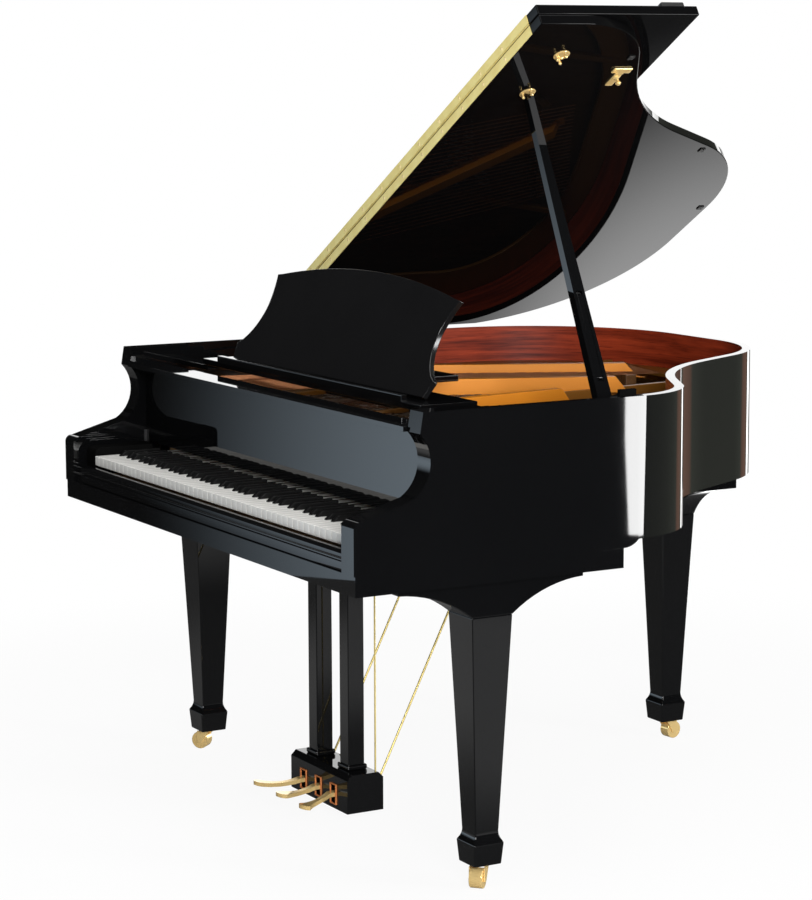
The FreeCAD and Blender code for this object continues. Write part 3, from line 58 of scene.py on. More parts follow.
def newMaterial(name):
    material = bpy.data.materials.new(name)
    material.use_nodes = True
    tree = material.node_tree
    shader = tree.nodes["Principled BSDF"]
    return material, tree, shader


def addNode(tree, kind, **values):
    node = tree.nodes.new(kind)
    for key, value in values.items():
        if hasattr(node, key):
            setattr(node, key, value)
        else:
            node.inputs[key.replace("_", " ")].default_value = value
    return node


def setSockets(shader, sockets):
    for key, value in sockets.items():
        shader.inputs[key.replace("_", " ")].default_value = value


def objectPoint(tree, scale=(1, 1, 1)):
    point = tree.nodes.new("ShaderNodeTexCoord")
    mapping = tree.nodes.new("ShaderNodeMapping")
    mapping.inputs["Scale"].default_value = scale
    tree.links.new(point.outputs["Object"], mapping.inputs["Vector"])
    return mapping.outputs["Vector"]


def makeGroup(name, inputs, outputs):
    group = bpy.data.node_groups.new(name, "ShaderNodeTree")
    for label, kind, value in inputs:
        socket = group.interface.new_socket(name=label, in_out="INPUT", socket_type=kind)
        socket.default_value = value
    for label, kind in outputs:
        group.interface.new_socket(name=label, in_out="OUTPUT", socket_type=kind)
    return group, group.nodes.new("NodeGroupInput"), group.nodes.new("NodeGroupOutput")


def placeGroup(tree, group, **values):
    node = tree.nodes.new("ShaderNodeGroup")
    node.node_tree = group
    for label, value in values.items():
        node.inputs[label].default_value = value
    return node


wanderNoise = {"broadDetail": 5, "fineDetail": 2, "from": 0.3, "to": 0.7}


def makeSurfaceGroup():
    # two noises make a roughness that wanders, a tint and a fine relief
    group, start, end = makeGroup(
        "surfaceWander",
        [("Vector", "NodeSocketVector", (0, 0, 0)), ("Scale", "NodeSocketFloat", 8), ("Fine", "NodeSocketFloat", 300),
         ("Low", "NodeSocketFloat", 0.1), ("High", "NodeSocketFloat", 0.2)],
        [("Roughness", "NodeSocketFloat"), ("Tint", "NodeSocketFloat"), ("Relief", "NodeSocketFloat")])
    links = group.links
    broad = addNode(group, "ShaderNodeTexNoise", Detail=wanderNoise["broadDetail"])
    fine = addNode(group, "ShaderNodeTexNoise", Detail=wanderNoise["fineDetail"])
    spread = group.nodes.new("ShaderNodeMapRange")
    links.new(start.outputs["Vector"], broad.inputs["Vector"])
    links.new(start.outputs["Scale"], broad.inputs["Scale"])
    links.new(start.outputs["Vector"], fine.inputs["Vector"])
    links.new(start.outputs["Fine"], fine.inputs["Scale"])
    links.new(broad.outputs["Fac"], spread.inputs["Value"])
    spread.inputs["From Min"].default_value = wanderNoise["from"]
    spread.inputs["From Max"].default_value = wanderNoise["to"]
    links.new(start.outputs["Low"], spread.inputs["To Min"])
    links.new(start.outputs["High"], spread.inputs["To Max"])
    links.new(spread.outputs["Result"], end.inputs["Roughness"])
    links.new(broad.outputs["Fac"], end.inputs["Tint"])
    links.new(fine.outputs["Fac"], end.inputs["Relief"])
    return group


fibreNoise = {"detail": 8, "roughness": 0.65, "from": 0.32, "to": 0.68, "poreDetail": 3, "poreScale": 4.5,
              "poreFrom": 0.55, "poreTo": 0.75, "poreDepth": 0.6}


def makeGrainGroup():
    # long fibres: noise squeezed across the grain, darker pores on top
    group, start, end = makeGroup(
        "woodGrain",
        [("Vector", "NodeSocketVector", (0, 0, 0)), ("Light", "NodeSocketColor", (0.5, 0.3, 0.2, 1)),
         ("Dark", "NodeSocketColor", (0.3, 0.15, 0.1, 1)), ("Scale", "NodeSocketFloat", 4)],
        [("Color", "NodeSocketColor"), ("Fibre", "NodeSocketFloat")])
    links = group.links
    fibre = addNode(group, "ShaderNodeTexNoise", Detail=fibreNoise["detail"], Roughness=fibreNoise["roughness"])
    pores = addNode(group, "ShaderNodeTexNoise", Detail=fibreNoise["poreDetail"])
    scaleUp = addNode(group, "ShaderNodeMath", operation="MULTIPLY")
    scaleUp.inputs[1].default_value = fibreNoise["poreScale"]
    mix = addNode(group, "ShaderNodeMix", data_type="RGBA")
    sharpen = group.nodes.new("ShaderNodeMapRange")
    sharpen.inputs["From Min"].default_value = fibreNoise["from"]
    sharpen.inputs["From Max"].default_value = fibreNoise["to"]
    darken = addNode(group, "ShaderNodeMix", data_type="RGBA", blend_type="MULTIPLY")
    poreMask = group.nodes.new("ShaderNodeMapRange")
    poreMask.inputs["From Min"].default_value = fibreNoise["poreFrom"]
    poreMask.inputs["From Max"].default_value = fibreNoise["poreTo"]
    poreMask.inputs["To Max"].default_value = fibreNoise["poreDepth"]
    links.new(start.outputs["Vector"], fibre.inputs["Vector"])
    links.new(start.outputs["Vector"], pores.inputs["Vector"])
    links.new(start.outputs["Scale"], fibre.inputs["Scale"])
    links.new(start.outputs["Scale"], scaleUp.inputs[0])
    links.new(scaleUp.outputs[0], pores.inputs["Scale"])
    links.new(fibre.outputs["Fac"], sharpen.inputs["Value"])
    links.new(sharpen.outputs["Result"], mix.inputs["Factor"])
    links.new(start.outputs["Light"], mix.inputs[6])
    links.new(start.outputs["Dark"], mix.inputs[7])
    links.new(pores.outputs["Fac"], poreMask.inputs["Value"])
    links.new(poreMask.outputs["Result"], darken.inputs["Factor"])
    links.new(mix.outputs[2], darken.inputs[6])
    links.new(start.outputs["Dark"], darken.inputs[7])
    links.new(darken.outputs[2], end.inputs["Color"])
    links.new(fibre.outputs["Fac"], end.inputs["Fibre"])
    return group


surfaceGroup = makeSurfaceGroup()
grainGroup = makeGrainGroup()
tintRelief = {"depth": 0.001}
veneerSkin = {"scale": 6, "fine": 80, "bump": 0.08, "depth": 0.0006, "coatRoughness": 0.06}


def tintedSurface(name, light, dark, low, high, scale, fine, bump, metallic=0.0, **sockets):
    material, tree, shader = newMaterial(name)
    wander = placeGroup(tree, surfaceGroup, Scale=scale, Fine=fine, Low=low, High=high)
    tree.links.new(objectPoint(tree), wander.inputs["Vector"])
    mix = addNode(tree, "ShaderNodeMix", data_type="RGBA")
    mix.inputs[6].default_value = (*light, 1)
    mix.inputs[7].default_value = (*dark, 1)
    tree.links.new(wander.outputs["Tint"], mix.inputs["Factor"])
    tree.links.new(mix.outputs[2], shader.inputs["Base Color"])
    tree.links.new(wander.outputs["Roughness"], shader.inputs["Roughness"])
    if bump:
        relief = addNode(tree, "ShaderNodeBump", Strength=bump, Distance=tintRelief["depth"])
        tree.links.new(wander.outputs["Relief"], relief.inputs["Height"])
        tree.links.new(relief.outputs["Normal"], shader.inputs["Normal"])
    shader.inputs["Metallic"].default_value = metallic
    setSockets(shader, sockets)
    return material


def grainedWood(name, light, dark, stretch, scale, low, high, coat, **sockets):
    material, tree, shader = newMaterial(name)
    point = objectPoint(tree, scale=stretch)
    grain = placeGroup(tree, grainGroup, Light=(*light, 1), Dark=(*dark, 1), Scale=scale)
    wander = placeGroup(tree, surfaceGroup, Scale=veneerSkin["scale"], Fine=veneerSkin["fine"], Low=low, High=high)
    tree.links.new(point, grain.inputs["Vector"])
    tree.links.new(point, wander.inputs["Vector"])
    tree.links.new(grain.outputs["Color"], shader.inputs["Base Color"])
    tree.links.new(wander.outputs["Roughness"], shader.inputs["Roughness"])
    relief = addNode(tree, "ShaderNodeBump", Strength=veneerSkin["bump"], Distance=veneerSkin["depth"])
    tree.links.new(grain.outputs["Fibre"], relief.inputs["Height"])
    tree.links.new(relief.outputs["Normal"], shader.inputs["Normal"])
    shader.inputs["Coat Weight"].default_value = coat
    shader.inputs["Coat Roughness"].default_value = veneerSkin["coatRoughness"]
    setSockets(shader, sockets)
    return material


finishes = {
    "ebony": tintedSurface("ebonyGloss", (0.0022, 0.0023, 0.0026), (0.0034, 0.0035, 0.0038), 0.008, 0.028, 3, 500, 0,
                           IOR=1.5),
    "lidGloss": tintedSurface("lidGloss", (0.0022, 0.0022, 0.0024), (0.0034, 0.0034, 0.0036), 0.008, 0.028, 3, 500, 0,
                              IOR=1.17),
    "satin": tintedSurface("satinBlack", (0.005, 0.005, 0.0055), (0.008, 0.008, 0.0085), 0.14, 0.2, 5, 700, 0.02,
                           IOR=1.48),
    "ivory": tintedSurface("whiteKey", (0.86, 0.85, 0.82), (0.80, 0.79, 0.75), 0.12, 0.2, 9, 400, 0.01),
    "keyBlack": tintedSurface("blackKey", (0.005, 0.005, 0.005), (0.009, 0.009, 0.009), 0.16, 0.26, 30, 900, 0.05,
                              Specular_IOR_Level=0.2),
    "mahogany": grainedWood("mahoganyVeneer", (0.44, 0.056, 0.018), (0.10, 0.010, 0.004), (2.2, 2.2, 55), 1.6, 0.4,
                            0.52, 0.03, Specular_IOR_Level=0.2),
    "maple": grainedWood("mapleBlock", (0.55, 0.36, 0.19), (0.40, 0.24, 0.11), (4, 4, 40), 2, 0.35, 0.5, 0.0),
    # Darkened soundboard wood: painted shade for the inside of the case under the lid, also on ribs, braces and bridges
    "spruce": grainedWood("paintedShadeSpruceBoard", (0.16, 0.075, 0.025), (0.10, 0.042, 0.013), (60, 6, 6), 1.4, 0.25, 0.4, 0.3),
    "bronze": tintedSurface("bronzeLacquer", (0.74, 0.265, 0.016), (0.62, 0.200, 0.011), 0.36, 0.46, 3, 260, 0.08,
                            metallic=0.1, Specular_IOR_Level=0.3),
    # A darker copy of the plate's gold: painted shade on its flat areas, against the lighter raised bars
    "shadedPlateBronze": tintedSurface("plateGoldPaintedShade", (0.30, 0.125, 0.018), (0.22, 0.085, 0.012), 0.3, 0.42, 5, 260, 0.1,
                                metallic=0.2),
    "steel": tintedSurface("stringSteel", (0.55, 0.53, 0.50), (0.40, 0.38, 0.35), 0.2, 0.35, 20, 400, 0.0,
                           metallic=1.0),
    "copper": tintedSurface("woundCopper", (0.60, 0.27, 0.13), (0.44, 0.18, 0.08), 0.3, 0.45, 30, 1500, 0.3,
                            metallic=1.0),
    "brass": tintedSurface("polishedBrass", (1.0, 0.77, 0.36), (0.96, 0.64, 0.23), 0.08, 0.18, 24, 600, 0.03,
                           metallic=0.5),
    "paleBrass": tintedSurface("hingeBrass", (0.95, 0.79, 0.31), (0.84, 0.64, 0.20), 0.28, 0.4, 40, 900, 0.05,
                               metallic=0.45),
    "blackSteel": tintedSurface("blackSteel", (0.012, 0.012, 0.013), (0.02, 0.02, 0.021), 0.3, 0.4, 30, 700, 0.05),
    "rubber": tintedSurface("bumperRubber", (0.004, 0.004, 0.004), (0.007, 0.007, 0.007), 0.5, 0.7, 40, 900, 0.1),
    "blackMatt": tintedSurface("blackMatt", (0.003, 0.003, 0.003), (0.005, 0.005, 0.005), 0.7, 0.9, 30, 700, 0.05,
                               Specular_IOR_Level=0.0),
    "felt": tintedSurface("hammerFelt", (0.72, 0.68, 0.58), (0.58, 0.54, 0.45), 0.8, 0.95, 60, 900, 0.4),
    "slotFelt": tintedSurface("pedalFelt", (0.70, 0.24, 0.07), (0.52, 0.16, 0.045), 0.6, 0.8, 90, 1200, 0.4),
}
print("finishes ready:", len(finishes))


# bevelled copies of the solids, so that every edge catches the light

soften = {"weld": 2e-5, "flat": math.radians(0.6), "sharp": math.radians(28), "smooth": math.radians(40)}


def plainCopy(node):
    shape = bmesh.new()
    shape.from_mesh(nodes[node].data)
    bmesh.ops.remove_doubles(shape, verts=shape.verts, dist=soften["weld"])
    bmesh.ops.dissolve_limit(shape, angle_limit=soften["flat"], verts=shape.verts, edges=shape.edges)
    return shape


def bevelEdges(shape, edges, width, segments):
    bmesh.ops.bevel(shape, geom=edges, offset=width, offset_type="OFFSET", segments=segments, profile=0.5,
                    affect="EDGES", clamp_overlap=True, material=-1)


def softenEdges(shape, width, segments):
    sharp = [edge for edge in shape.edges
             if len(edge.link_faces) == 2 and edge.calc_face_angle(0) > soften["sharp"]]
    bevelEdges(shape, sharp, width, segments)


def finishPiece(name, shape, body, materials, node=None):
    mesh = bpy.data.meshes.new(name)
    shape.to_mesh(mesh)
    shape.free()
    piece = bpy.data.objects.new(name, mesh)
    scene.collection.objects.link(piece)
    for material in materials:
        mesh.materials.append(finishes[material])
    mesh.polygons.foreach_set("use_smooth", [True] * len(mesh.polygons))
    mesh.set_sharp_from_angle(angle=soften["smooth"])
    even = piece.modifiers.new("evenNormals", "WEIGHTED_NORMAL")
    even.keep_sharp = True
    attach(piece, body)
    if node:
        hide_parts(node)


bevelled = {
    # node: (finish, bevel width in metres, segments)
    "keybed": ("ebony", 0.0016, 3), "key_slip": ("ebony", 0.0012, 2), "key_blocks": ("blackMatt", 0.002, 3),
    "fallboard": ("ebony", 0.0018, 3), "music_shelf": ("ebony", 0.0014, 2), "shelf_rails": ("ebony", 0.001, 2),
    "music_desk": ("satin", 0.0016, 3), "desk_strut": ("satin", 0.0008, 2), "lid_main": ("lidGloss", 0.0022, 3),
    "lid_flap": ("lidGloss", 0.0022, 3), "prop_long": ("ebony", 0.0022, 3), "prop_short": ("ebony", 0.0015, 2),
    "lyre_top_block": ("ebony", 0.002, 3), "lyre_pillars": ("ebony", 0.0022, 3), "lyre_box": ("ebony", 0.0018, 3),
    "bass_leg": ("ebony", 0.0022, 3), "treble_leg": ("ebony", 0.0022, 3), "tail_leg": ("ebony", 0.0022, 3),
    "leg_brackets": ("ebony", 0.002, 3), "white_keys": ("ivory", 0.0009, 2), "black_keys": ("keyBlack", 0.0016, 3),
    "cast_iron_plate": ("shadedPlateBronze", 0.0022, 2), "lid_latch": ("brass", 0.0016, 3),
    "left_pedal": ("brass", 0.0035, 4), "middle_pedal": ("brass", 0.0035, 4), "right_pedal": ("brass", 0.0035, 4),
    "prop_bracket": ("blackMatt", 0.001, 2), "fallboard_pivots": ("blackSteel", 0.0006, 2),
    "bass_caster_fork": ("brass", 0.0008, 2), "treble_caster_fork": ("brass", 0.0008, 2),
    "tail_caster_fork": ("brass", 0.0008, 2), "bass_caster_wheel": ("brass", 0.001, 3),
    "treble_caster_wheel": ("brass", 0.001, 3), "tail_caster_wheel": ("brass", 0.001, 3),
    "lid_bumpers": ("rubber", 0.0008, 2), "bridges": ("spruce", 0.0015, 2),
}
for node, (finish, width, segments) in bevelled.items():
    shape = plainCopy(node)
    softenEdges(shape, width, segments)
    finishPiece("soft_" + node, shape, bodyOf[node], [finish], node)
print("bevelled pieces:", len(bevelled))


# the rim: black outside and on its arms, mahogany on the inner face above the plate

rim = {"bevel": 0.0022, "segments": 3, "wall": 0.02, "veneer": 0.006, "veneerFrom": -0.2, "farSide": -0.69,
       "tailFrom": 0.68, "tailTo": 0.05, "facingUp": 0.3, "facingSide": 0.9}


def treeOf(node):
    shape = plainCopy(node)
    tree = BVHTree.FromBMesh(shape)
    shape.free()
    return tree


def buildRim():
    shape = plainCopy("outer_rim")
    softenEdges(shape, rim["bevel"], rim["segments"])
    bmesh.ops.bisect_plane(shape, geom=[*shape.verts, *shape.edges, *shape.faces], plane_co=(0, rim["veneerFrom"], 0),
                           plane_no=(0, 1, 0))
    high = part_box("outer_rim")[1]
    innerLow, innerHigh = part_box("inner_rim")
    lining = treeOf("inner_rim")
    level = (innerLow.z + innerHigh.z) / 2
    for face in shape.faces:
        middle = face.calc_center_median()
        atBack = middle.x < rim["farSide"] or (middle.y > rim["tailFrom"] and middle.x < rim["tailTo"])
        if atBack and face.normal.z > rim["facingUp"]:
            face.material_index = 2
        if abs(face.normal.z) > rim["facingUp"] or middle.y < rim["veneerFrom"]:
            continue
        spot = lining.find_nearest(Vector((middle.x, middle.y, level)))
        inward = abs(face.normal.x) > rim["facingSide"] and middle.x * face.normal.x < 0
        if spot[3] < rim["veneer"] or (inward and abs(middle.x) < high.x - rim["wall"] / 2):
            face.material_index = 1
    finishPiece("rim", shape, bodyOf["outer_rim"], ["ebony", "mahogany", "blackMatt"], "outer_rim")


buildRim()
print("rim made")


# small turned, rounded and framed shapes for the fittings

def turned(points, steps):
    shape = bmesh.new()
    verts = [shape.verts.new((radius, 0, height)) for radius, height in points]
    edges = [shape.edges.new(pair) for pair in zip(verts, verts[1:])]
    bmesh.ops.spin(shape, geom=verts + edges, cent=(0, 0, 0), axis=(0, 0, 1), angle=math.tau, steps=steps,
                   use_merge=True)
    bmesh.ops.remove_doubles(shape, verts=shape.verts, dist=1e-6)
    bmesh.ops.recalc_face_normals(shape, faces=shape.faces)
    return shape


def roundedBlock(size, place, radius, segments):
    shape = bmesh.new()
    bmesh.ops.create_cube(shape, size=1)
    bmesh.ops.scale(shape, vec=size, verts=shape.verts)
    bmesh.ops.translate(shape, vec=place, verts=shape.verts)
    bevelEdges(shape, list(shape.edges), radius, segments)
    return shape


def pulled(outline, width, radius, segments):
    # a flat outline in Y and Z pulled out along X, with its edges rounded
    shape = bmesh.new()
    face = shape.faces.new([shape.verts.new((-width / 2, run, height)) for run, height in outline])
    out = bmesh.ops.extrude_face_region(shape, geom=[face])["geom"]
    bmesh.ops.translate(shape, vec=(width, 0, 0), verts=[item for item in out if isinstance(item, bmesh.types.BMVert)])
    bmesh.ops.recalc_face_normals(shape, faces=shape.faces)
    bevelEdges(shape, list(shape.edges), radius, segments)
    return shape


def framed(width, height, border, depth):
    # an upright window frame that stands out towards -Y
    shape = bmesh.new()
    bmesh.ops.create_grid(shape, x_segments=1, y_segments=1, size=0.5)
    bmesh.ops.scale(shape, vec=(width + 2 * border, height + 2 * border, 1), verts=shape.verts)
    bmesh.ops.inset_region(shape, faces=list(shape.faces), thickness=border, use_boundary=True)
    middle = min(shape.faces, key=lambda face: face.calc_center_median().length)
    bmesh.ops.delete(shape, geom=[middle], context="FACES_ONLY")
    bmesh.ops.solidify(shape, geom=list(shape.faces), thickness=-depth)
    bmesh.ops.recalc_face_normals(shape, faces=shape.faces)
    bmesh.ops.transform(shape, matrix=Matrix.Rotation(math.pi / 2, 4, "X"), verts=shape.verts)
    return shape


def moved(shape, matrix):
    bmesh.ops.transform(shape, matrix=matrix, verts=shape.verts)
    return shape


def gathered(shapes):
    whole = bmesh.new()
    for shape in shapes:
        mesh = bpy.data.meshes.new("piece")
        shape.to_mesh(mesh)
        shape.free()
        whole.from_mesh(mesh)
        bpy.data.meshes.remove(mesh)
    return whole


# fittings on the lid are placed along it, out from its hinge, with their height above its underside

lidPlane = {"hinge": (-0.72, -0.734, 0.99), "open": math.radians(30.8)}
lidFrame = Matrix.Translation(lidPlane["hinge"]) @ Matrix.Rotation(-lidPlane["open"], 4, "Y")
facingFront = Matrix.Rotation(math.pi / 2, 4, "X")

longHinge = {"start": 0.045, "end": 1.405, "face": 0.5415, "pin": (0.54135, 0.024), "radius": 0.0016, "groove": 0.0011,
             "knuckle": 0.0255, "gap": 0.0015, "lidRow": 0.0115, "flapRow": 0.0365, "firstScrew": 0.09,
             "screwPitch": 0.1, "screws": 13, "screwSides": 10, "knuckleSides": 8, "leafBevel": 0.0004,
             "leafSegments": 2, "screw": [(0, 0.0001), (0.0036, 0.00008), (0.0042, 0.00002), (0.0042, -0.0003)]}


def hingeScrews(row):
    return [moved(turned(longHinge["screw"], longHinge["screwSides"]), lidFrame @ Matrix.Translation(
        (longHinge["firstScrew"] + step * longHinge["screwPitch"], longHinge["face"], row)) @ facingFront)
            for step in range(longHinge["screws"])]


def hingeKnuckles():
    points = [(0, longHinge["start"])]
    along = longHinge["start"]
    while along < longHinge["end"]:
        stop = min(along + longHinge["knuckle"], longHinge["end"])
        points += [(longHinge["radius"], along), (longHinge["radius"], stop)]
        if stop + longHinge["gap"] < longHinge["end"]:
            points += [(longHinge["groove"], stop), (longHinge["groove"], stop + longHinge["gap"])]
        along = stop + longHinge["gap"]
    points.append((0, longHinge["end"]))
    place = Matrix.Translation((0, *longHinge["pin"])) @ Matrix.Rotation(math.pi / 2, 4, "Y")
    return moved(turned(points, longHinge["knuckleSides"]), lidFrame @ place)


def leafOnly(node):
    # the flat leaf without the pin that is drawn with it
    shape = plainCopy(node)
    bmesh.ops.delete(shape, geom=[vert for vert in shape.verts if len(vert.link_edges) != 3 or any(
        len(face.verts) != 4 for face in vert.link_faces)], context="VERTS")
    softenEdges(shape, longHinge["leafBevel"], longHinge["leafSegments"])
    return shape


finishPiece("longHingeLidLeaf", gathered([leafOnly("flap_hinge_lid_leaf"), hingeKnuckles()]),
            bodyOf["flap_hinge_lid_leaf"], ["paleBrass"], "flap_hinge_lid_leaf")
finishPiece("longHingeFlapLeaf", leafOnly("flap_hinge_flap_leaf"), bodyOf["flap_hinge_flap_leaf"], ["paleBrass"],
            "flap_hinge_flap_leaf")
finishPiece("lidLeafScrews", gathered(hingeScrews(longHinge["lidRow"])), bodyOf["flap_hinge_lid_leaf"], ["brass"])
finishPiece("flapLeafScrews", gathered(hingeScrews(longHinge["flapRow"])), bodyOf["flap_hinge_flap_leaf"], ["brass"])

cups = {"places": ((1.1708, 0.658), (1.3248, 0.658)), "under": 0.001, "steps": 28, "ring": 0.0138,
        "prongs": (0, 180, 270), "prongSteps": 12,
        "outline": [(0, 0), (0.0178, 0), (0.018, -0.0012), (0.0172, -0.0022), (0.0142, -0.0026), (0.0118, -0.0026),
                    (0.0112, -0.0012), (0, -0.0008)],
        "prong": [(0, -0.0155), (0.002, -0.0152), (0.0034, -0.0138), (0.0036, -0.012), (0.0028, -0.0085),
                  (0.0026, -0.005), (0.0034, -0.002), (0, -0.002)]}


def propCup(along, depth):
    place = lidFrame @ Matrix.Translation((along, depth, cups["under"]))
    shapes = [moved(turned(cups["outline"], cups["steps"]), place)]
    for turn in cups["prongs"]:
        outward = Matrix.Rotation(math.radians(turn), 4, "Z") @ Matrix.Translation((cups["ring"], 0, 0))
        shapes.append(moved(turned(cups["prong"], cups["prongSteps"]), place @ outward))
    return shapes


finishPiece("propCups", gathered([shape for spot in cups["places"] for shape in propCup(*spot)]), bodyOf["prop_cups"],
            ["brass"], "prop_cups")

latch = {"place": (1.238, 0.844, 0.001), "steps": 16,
         "knob": [(0, -0.022), (0.004, -0.0215), (0.0062, -0.019), (0.0062, -0.0165), (0.0042, -0.0135),
                  (0.0036, -0.009), (0.006, -0.005), (0.006, -0.003), (0, -0.003)]}
finishPiece("latchKnob", moved(turned(latch["knob"], latch["steps"]), lidFrame @ Matrix.Translation(latch["place"])),
            bodyOf["lid_latch"], ["brass"])

flapBumper = {"place": (1.4335, 0.885, 0.0525), "size": (0.019, 0.058, 0.011), "round": 0.0035, "segments": 3}
finishPiece("flapBumper", moved(roundedBlock(flapBumper["size"], flapBumper["place"], flapBumper["round"],
                                             flapBumper["segments"]), lidFrame),
            bodyOf["flap_bumpers"], ["rubber"], "flap_bumpers")
print("lid fittings made")


# lyre: felt-lined slots for the pedals and a collar at the foot of each pillar

lyre = {"slots": (-0.071, 0, 0.071), "front": -0.439, "level": 0.06, "opening": (0.022, 0.040), "border": 0.003,
        "depth": 0.003, "pillars": (-0.074, 0.074), "middle": -0.394, "top": 0.113, "collar": (0.050, 0.050, 0.012),
        "collarRound": 0.004, "collarSegments": 3}
frames = [moved(framed(*lyre["opening"], lyre["border"], lyre["depth"]),
                Matrix.Translation((side, lyre["front"], lyre["level"]))) for side in lyre["slots"]]
collars = [roundedBlock(lyre["collar"], (side, lyre["middle"], lyre["top"] + lyre["collar"][2] / 2),
                        lyre["collarRound"], lyre["collarSegments"]) for side in lyre["pillars"]]
finishPiece("slotFrames", gathered(frames), bodyOf["lyre_box"], ["slotFelt"])
finishPiece("pillarCollars", gathered(collars), bodyOf["lyre_pillars"], ["ebony"])
print("lyre fittings made")


# inside: raised bars of the plate, round strings and pins

plateBars = {"low": 0.903, "foot": 0.9, "width": 0.022, "round": 0.005, "segments": 3, "slope": 0.05,
             "clear": 0.014, "toe": 0.7, "shoulder": 0.6, "heel": 0.4, "heelEnd": 0.1,
             "runs": [((-0.401, 0.098), (-0.199, 0.509), 0.935), ((-0.106, -0.076), (0.056, 0.308), 0.940),
                      ((0.229, -0.234), (0.184, 0.073), 0.940)]}


def plateBar(first, last, top):
    start, end = Vector((*first, 0)), Vector((*last, 0))
    ahead = (end - start).normalized()
    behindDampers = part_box("dampers")[1].y + plateBars["clear"] + plateBars["slope"]
    start = end - ahead * ((end.y - behindDampers) / ahead.y)
    length, slope, low, foot = (end - start).length, plateBars["slope"], plateBars["low"], plateBars["foot"]
    toe, shoulder = length + slope * plateBars["toe"], length + slope * plateBars["shoulder"]
    heel, heelEnd = -slope * plateBars["heel"], -slope * plateBars["heelEnd"]
    outline = [(0, low), (length, low), (toe, foot), (length + slope, foot), (shoulder, low), (length, top), (0, top),
               (heel, low), (heel, foot), (heelEnd, foot)]
    turn = Vector((0, 1, 0)).rotation_difference(ahead).to_matrix().to_4x4()
    return moved(pulled(outline, plateBars["width"], plateBars["round"], plateBars["segments"]),
                 Matrix.Translation(start) @ turn)


finishPiece("plateBars", gathered([plateBar(*run) for run in plateBars["runs"]]), bodyOf["cast_iron_plate"], ["bronze"])

wires = {"bassLevel": 0.909, "bass": 0.0013, "plain": 0.0006, "sides": 6, "pin": 0.0033, "coil": 0.0043,
         "coilHeight": 0.006, "coilFrom": 0.5, "pinSides": 8}


def islands(shape):
    left = set(shape.verts)
    while left:
        group, edge = [], [left.pop()]
        while edge:
            vert = edge.pop()
            group.append(vert)
            for link in vert.link_edges:
                other = link.other_vert(vert)
                if other in left:
                    left.remove(other)
                    edge.append(other)
        yield group


def middleOf(verts):
    return sum((vert.co for vert in verts), Vector()) / len(verts)


def rod(shape, start, end, radius, sides):
    run = end - start
    place = Matrix.Translation((start + end) / 2) @ run.to_track_quat("Z", "Y").to_matrix().to_4x4()
    bmesh.ops.create_cone(shape, cap_ends=True, segments=sides, radius1=radius, radius2=radius, depth=run.length,
                          matrix=place)


def buildStrings():
    plain, bass = bmesh.new(), bmesh.new()
    source = plainCopy("strings")
    for group in islands(source):
        group.sort(key=lambda vert: vert.co.y)
        half = len(group) // 2
        start, end = middleOf(group[:half]), middleOf(group[half:])
        wound = start.z > wires["bassLevel"]
        rod(bass if wound else plain, start, end, wires["bass"] if wound else wires["plain"], wires["sides"])
    source.free()
    finishPiece("plainStrings", plain, bodyOf["strings"], ["steel"], "strings")
    finishPiece("bassStrings", bass, bodyOf["strings"], ["copper"])


def buildPins():
    pins = bmesh.new()
    source = plainCopy("tuning_pins")
    for group in islands(source):
        heights = [vert.co.z for vert in group]
        foot, head = middleOf(group), middleOf(group)
        foot.z, head.z = min(heights), max(heights)
        rod(pins, foot, head, wires["pin"], wires["pinSides"])
        coil = foot.lerp(head, wires["coilFrom"])
        rod(pins, coil, coil + Vector((0, 0, wires["coilHeight"])), wires["coil"], wires["pinSides"])
    source.free()
    finishPiece("roundPins", pins, bodyOf["tuning_pins"], ["steel"], "tuning_pins")


buildStrings()
buildPins()
print("inside made")

asPacked = {
    "inner_rim": "mahogany", "belly_rail": "maple", "rim_braces": "spruce", "soundboard": "spruce",
    "soundboard_ribs": "spruce", "pin_block": "maple", "key_frame": "maple", "action_frame": "maple",
    "white_key_hammers": "felt", "black_key_hammers": "felt", "dampers": "satin", "lid_hinge_case_leaves": "brass",
    "lid_hinge_lid_leaves": "brass", "left_pedal_rod": "paleBrass", "middle_pedal_rod": "paleBrass",
    "right_pedal_rod": "paleBrass", "lyre_braces": "paleBrass",
}
for node, finish in asPacked.items():
    slots = nodes[node].data.materials
    slots.clear()
    slots.append(finishes[finish])
print("plain solids finished:", len(asPacked))


# floor, light and camera

studio = {"floorRadius": 3.3, "floorSides": 96, "floorMiddle": (-0.3, 0.2, -0.0005), "floorColor": 0.8,
          "whiteShare": 0.93, "paintedReflectionBase": 0.12, "plainFrom": 1.5, "plainBy": 2.6, "ambient": 0.18, "dark": 0.02}

paintedFloorReflections = [
    # painted reflections: bright floor patches on a dark base that only glossy rays see: place, full out to, gone by,
    # strength
    ((-1.5, 2.0), 0.4, 1.2, 4.0),
    ((-0.8, -1.6), 0.5, 1.4, 0.28),
    ((1.8, 0.3), 0.5, 1.2, 0.45),
]

paintedSkyReflections = [
    # painted reflections round the room, seen only by glossy rays: heading and height in degrees, full out to, gone by,
    # colour, strength
    (150, 8, 12, 28, (1.0, 1.0, 1.0), 1.7),
    (-133, -9, 14, 23, (0.72, 0.87, 1.0), 1.85),
    (85, -6, 34, 48, (0.93, 1.0, 0.80), 0.17),
    # painted reflection of brown wood in the rim's waist
    (111, -8, 4, 8, (0.26, 0.07, 0.035), 1.0),
]


def smoothFall(tree, value, gone, full):
    fall = tree.nodes.new("ShaderNodeMapRange")
    fall.interpolation_type = "SMOOTHSTEP"
    fall.inputs["From Min"].default_value = gone
    fall.inputs["From Max"].default_value = full
    tree.links.new(value, fall.inputs["Value"])
    return fall.outputs["Result"]


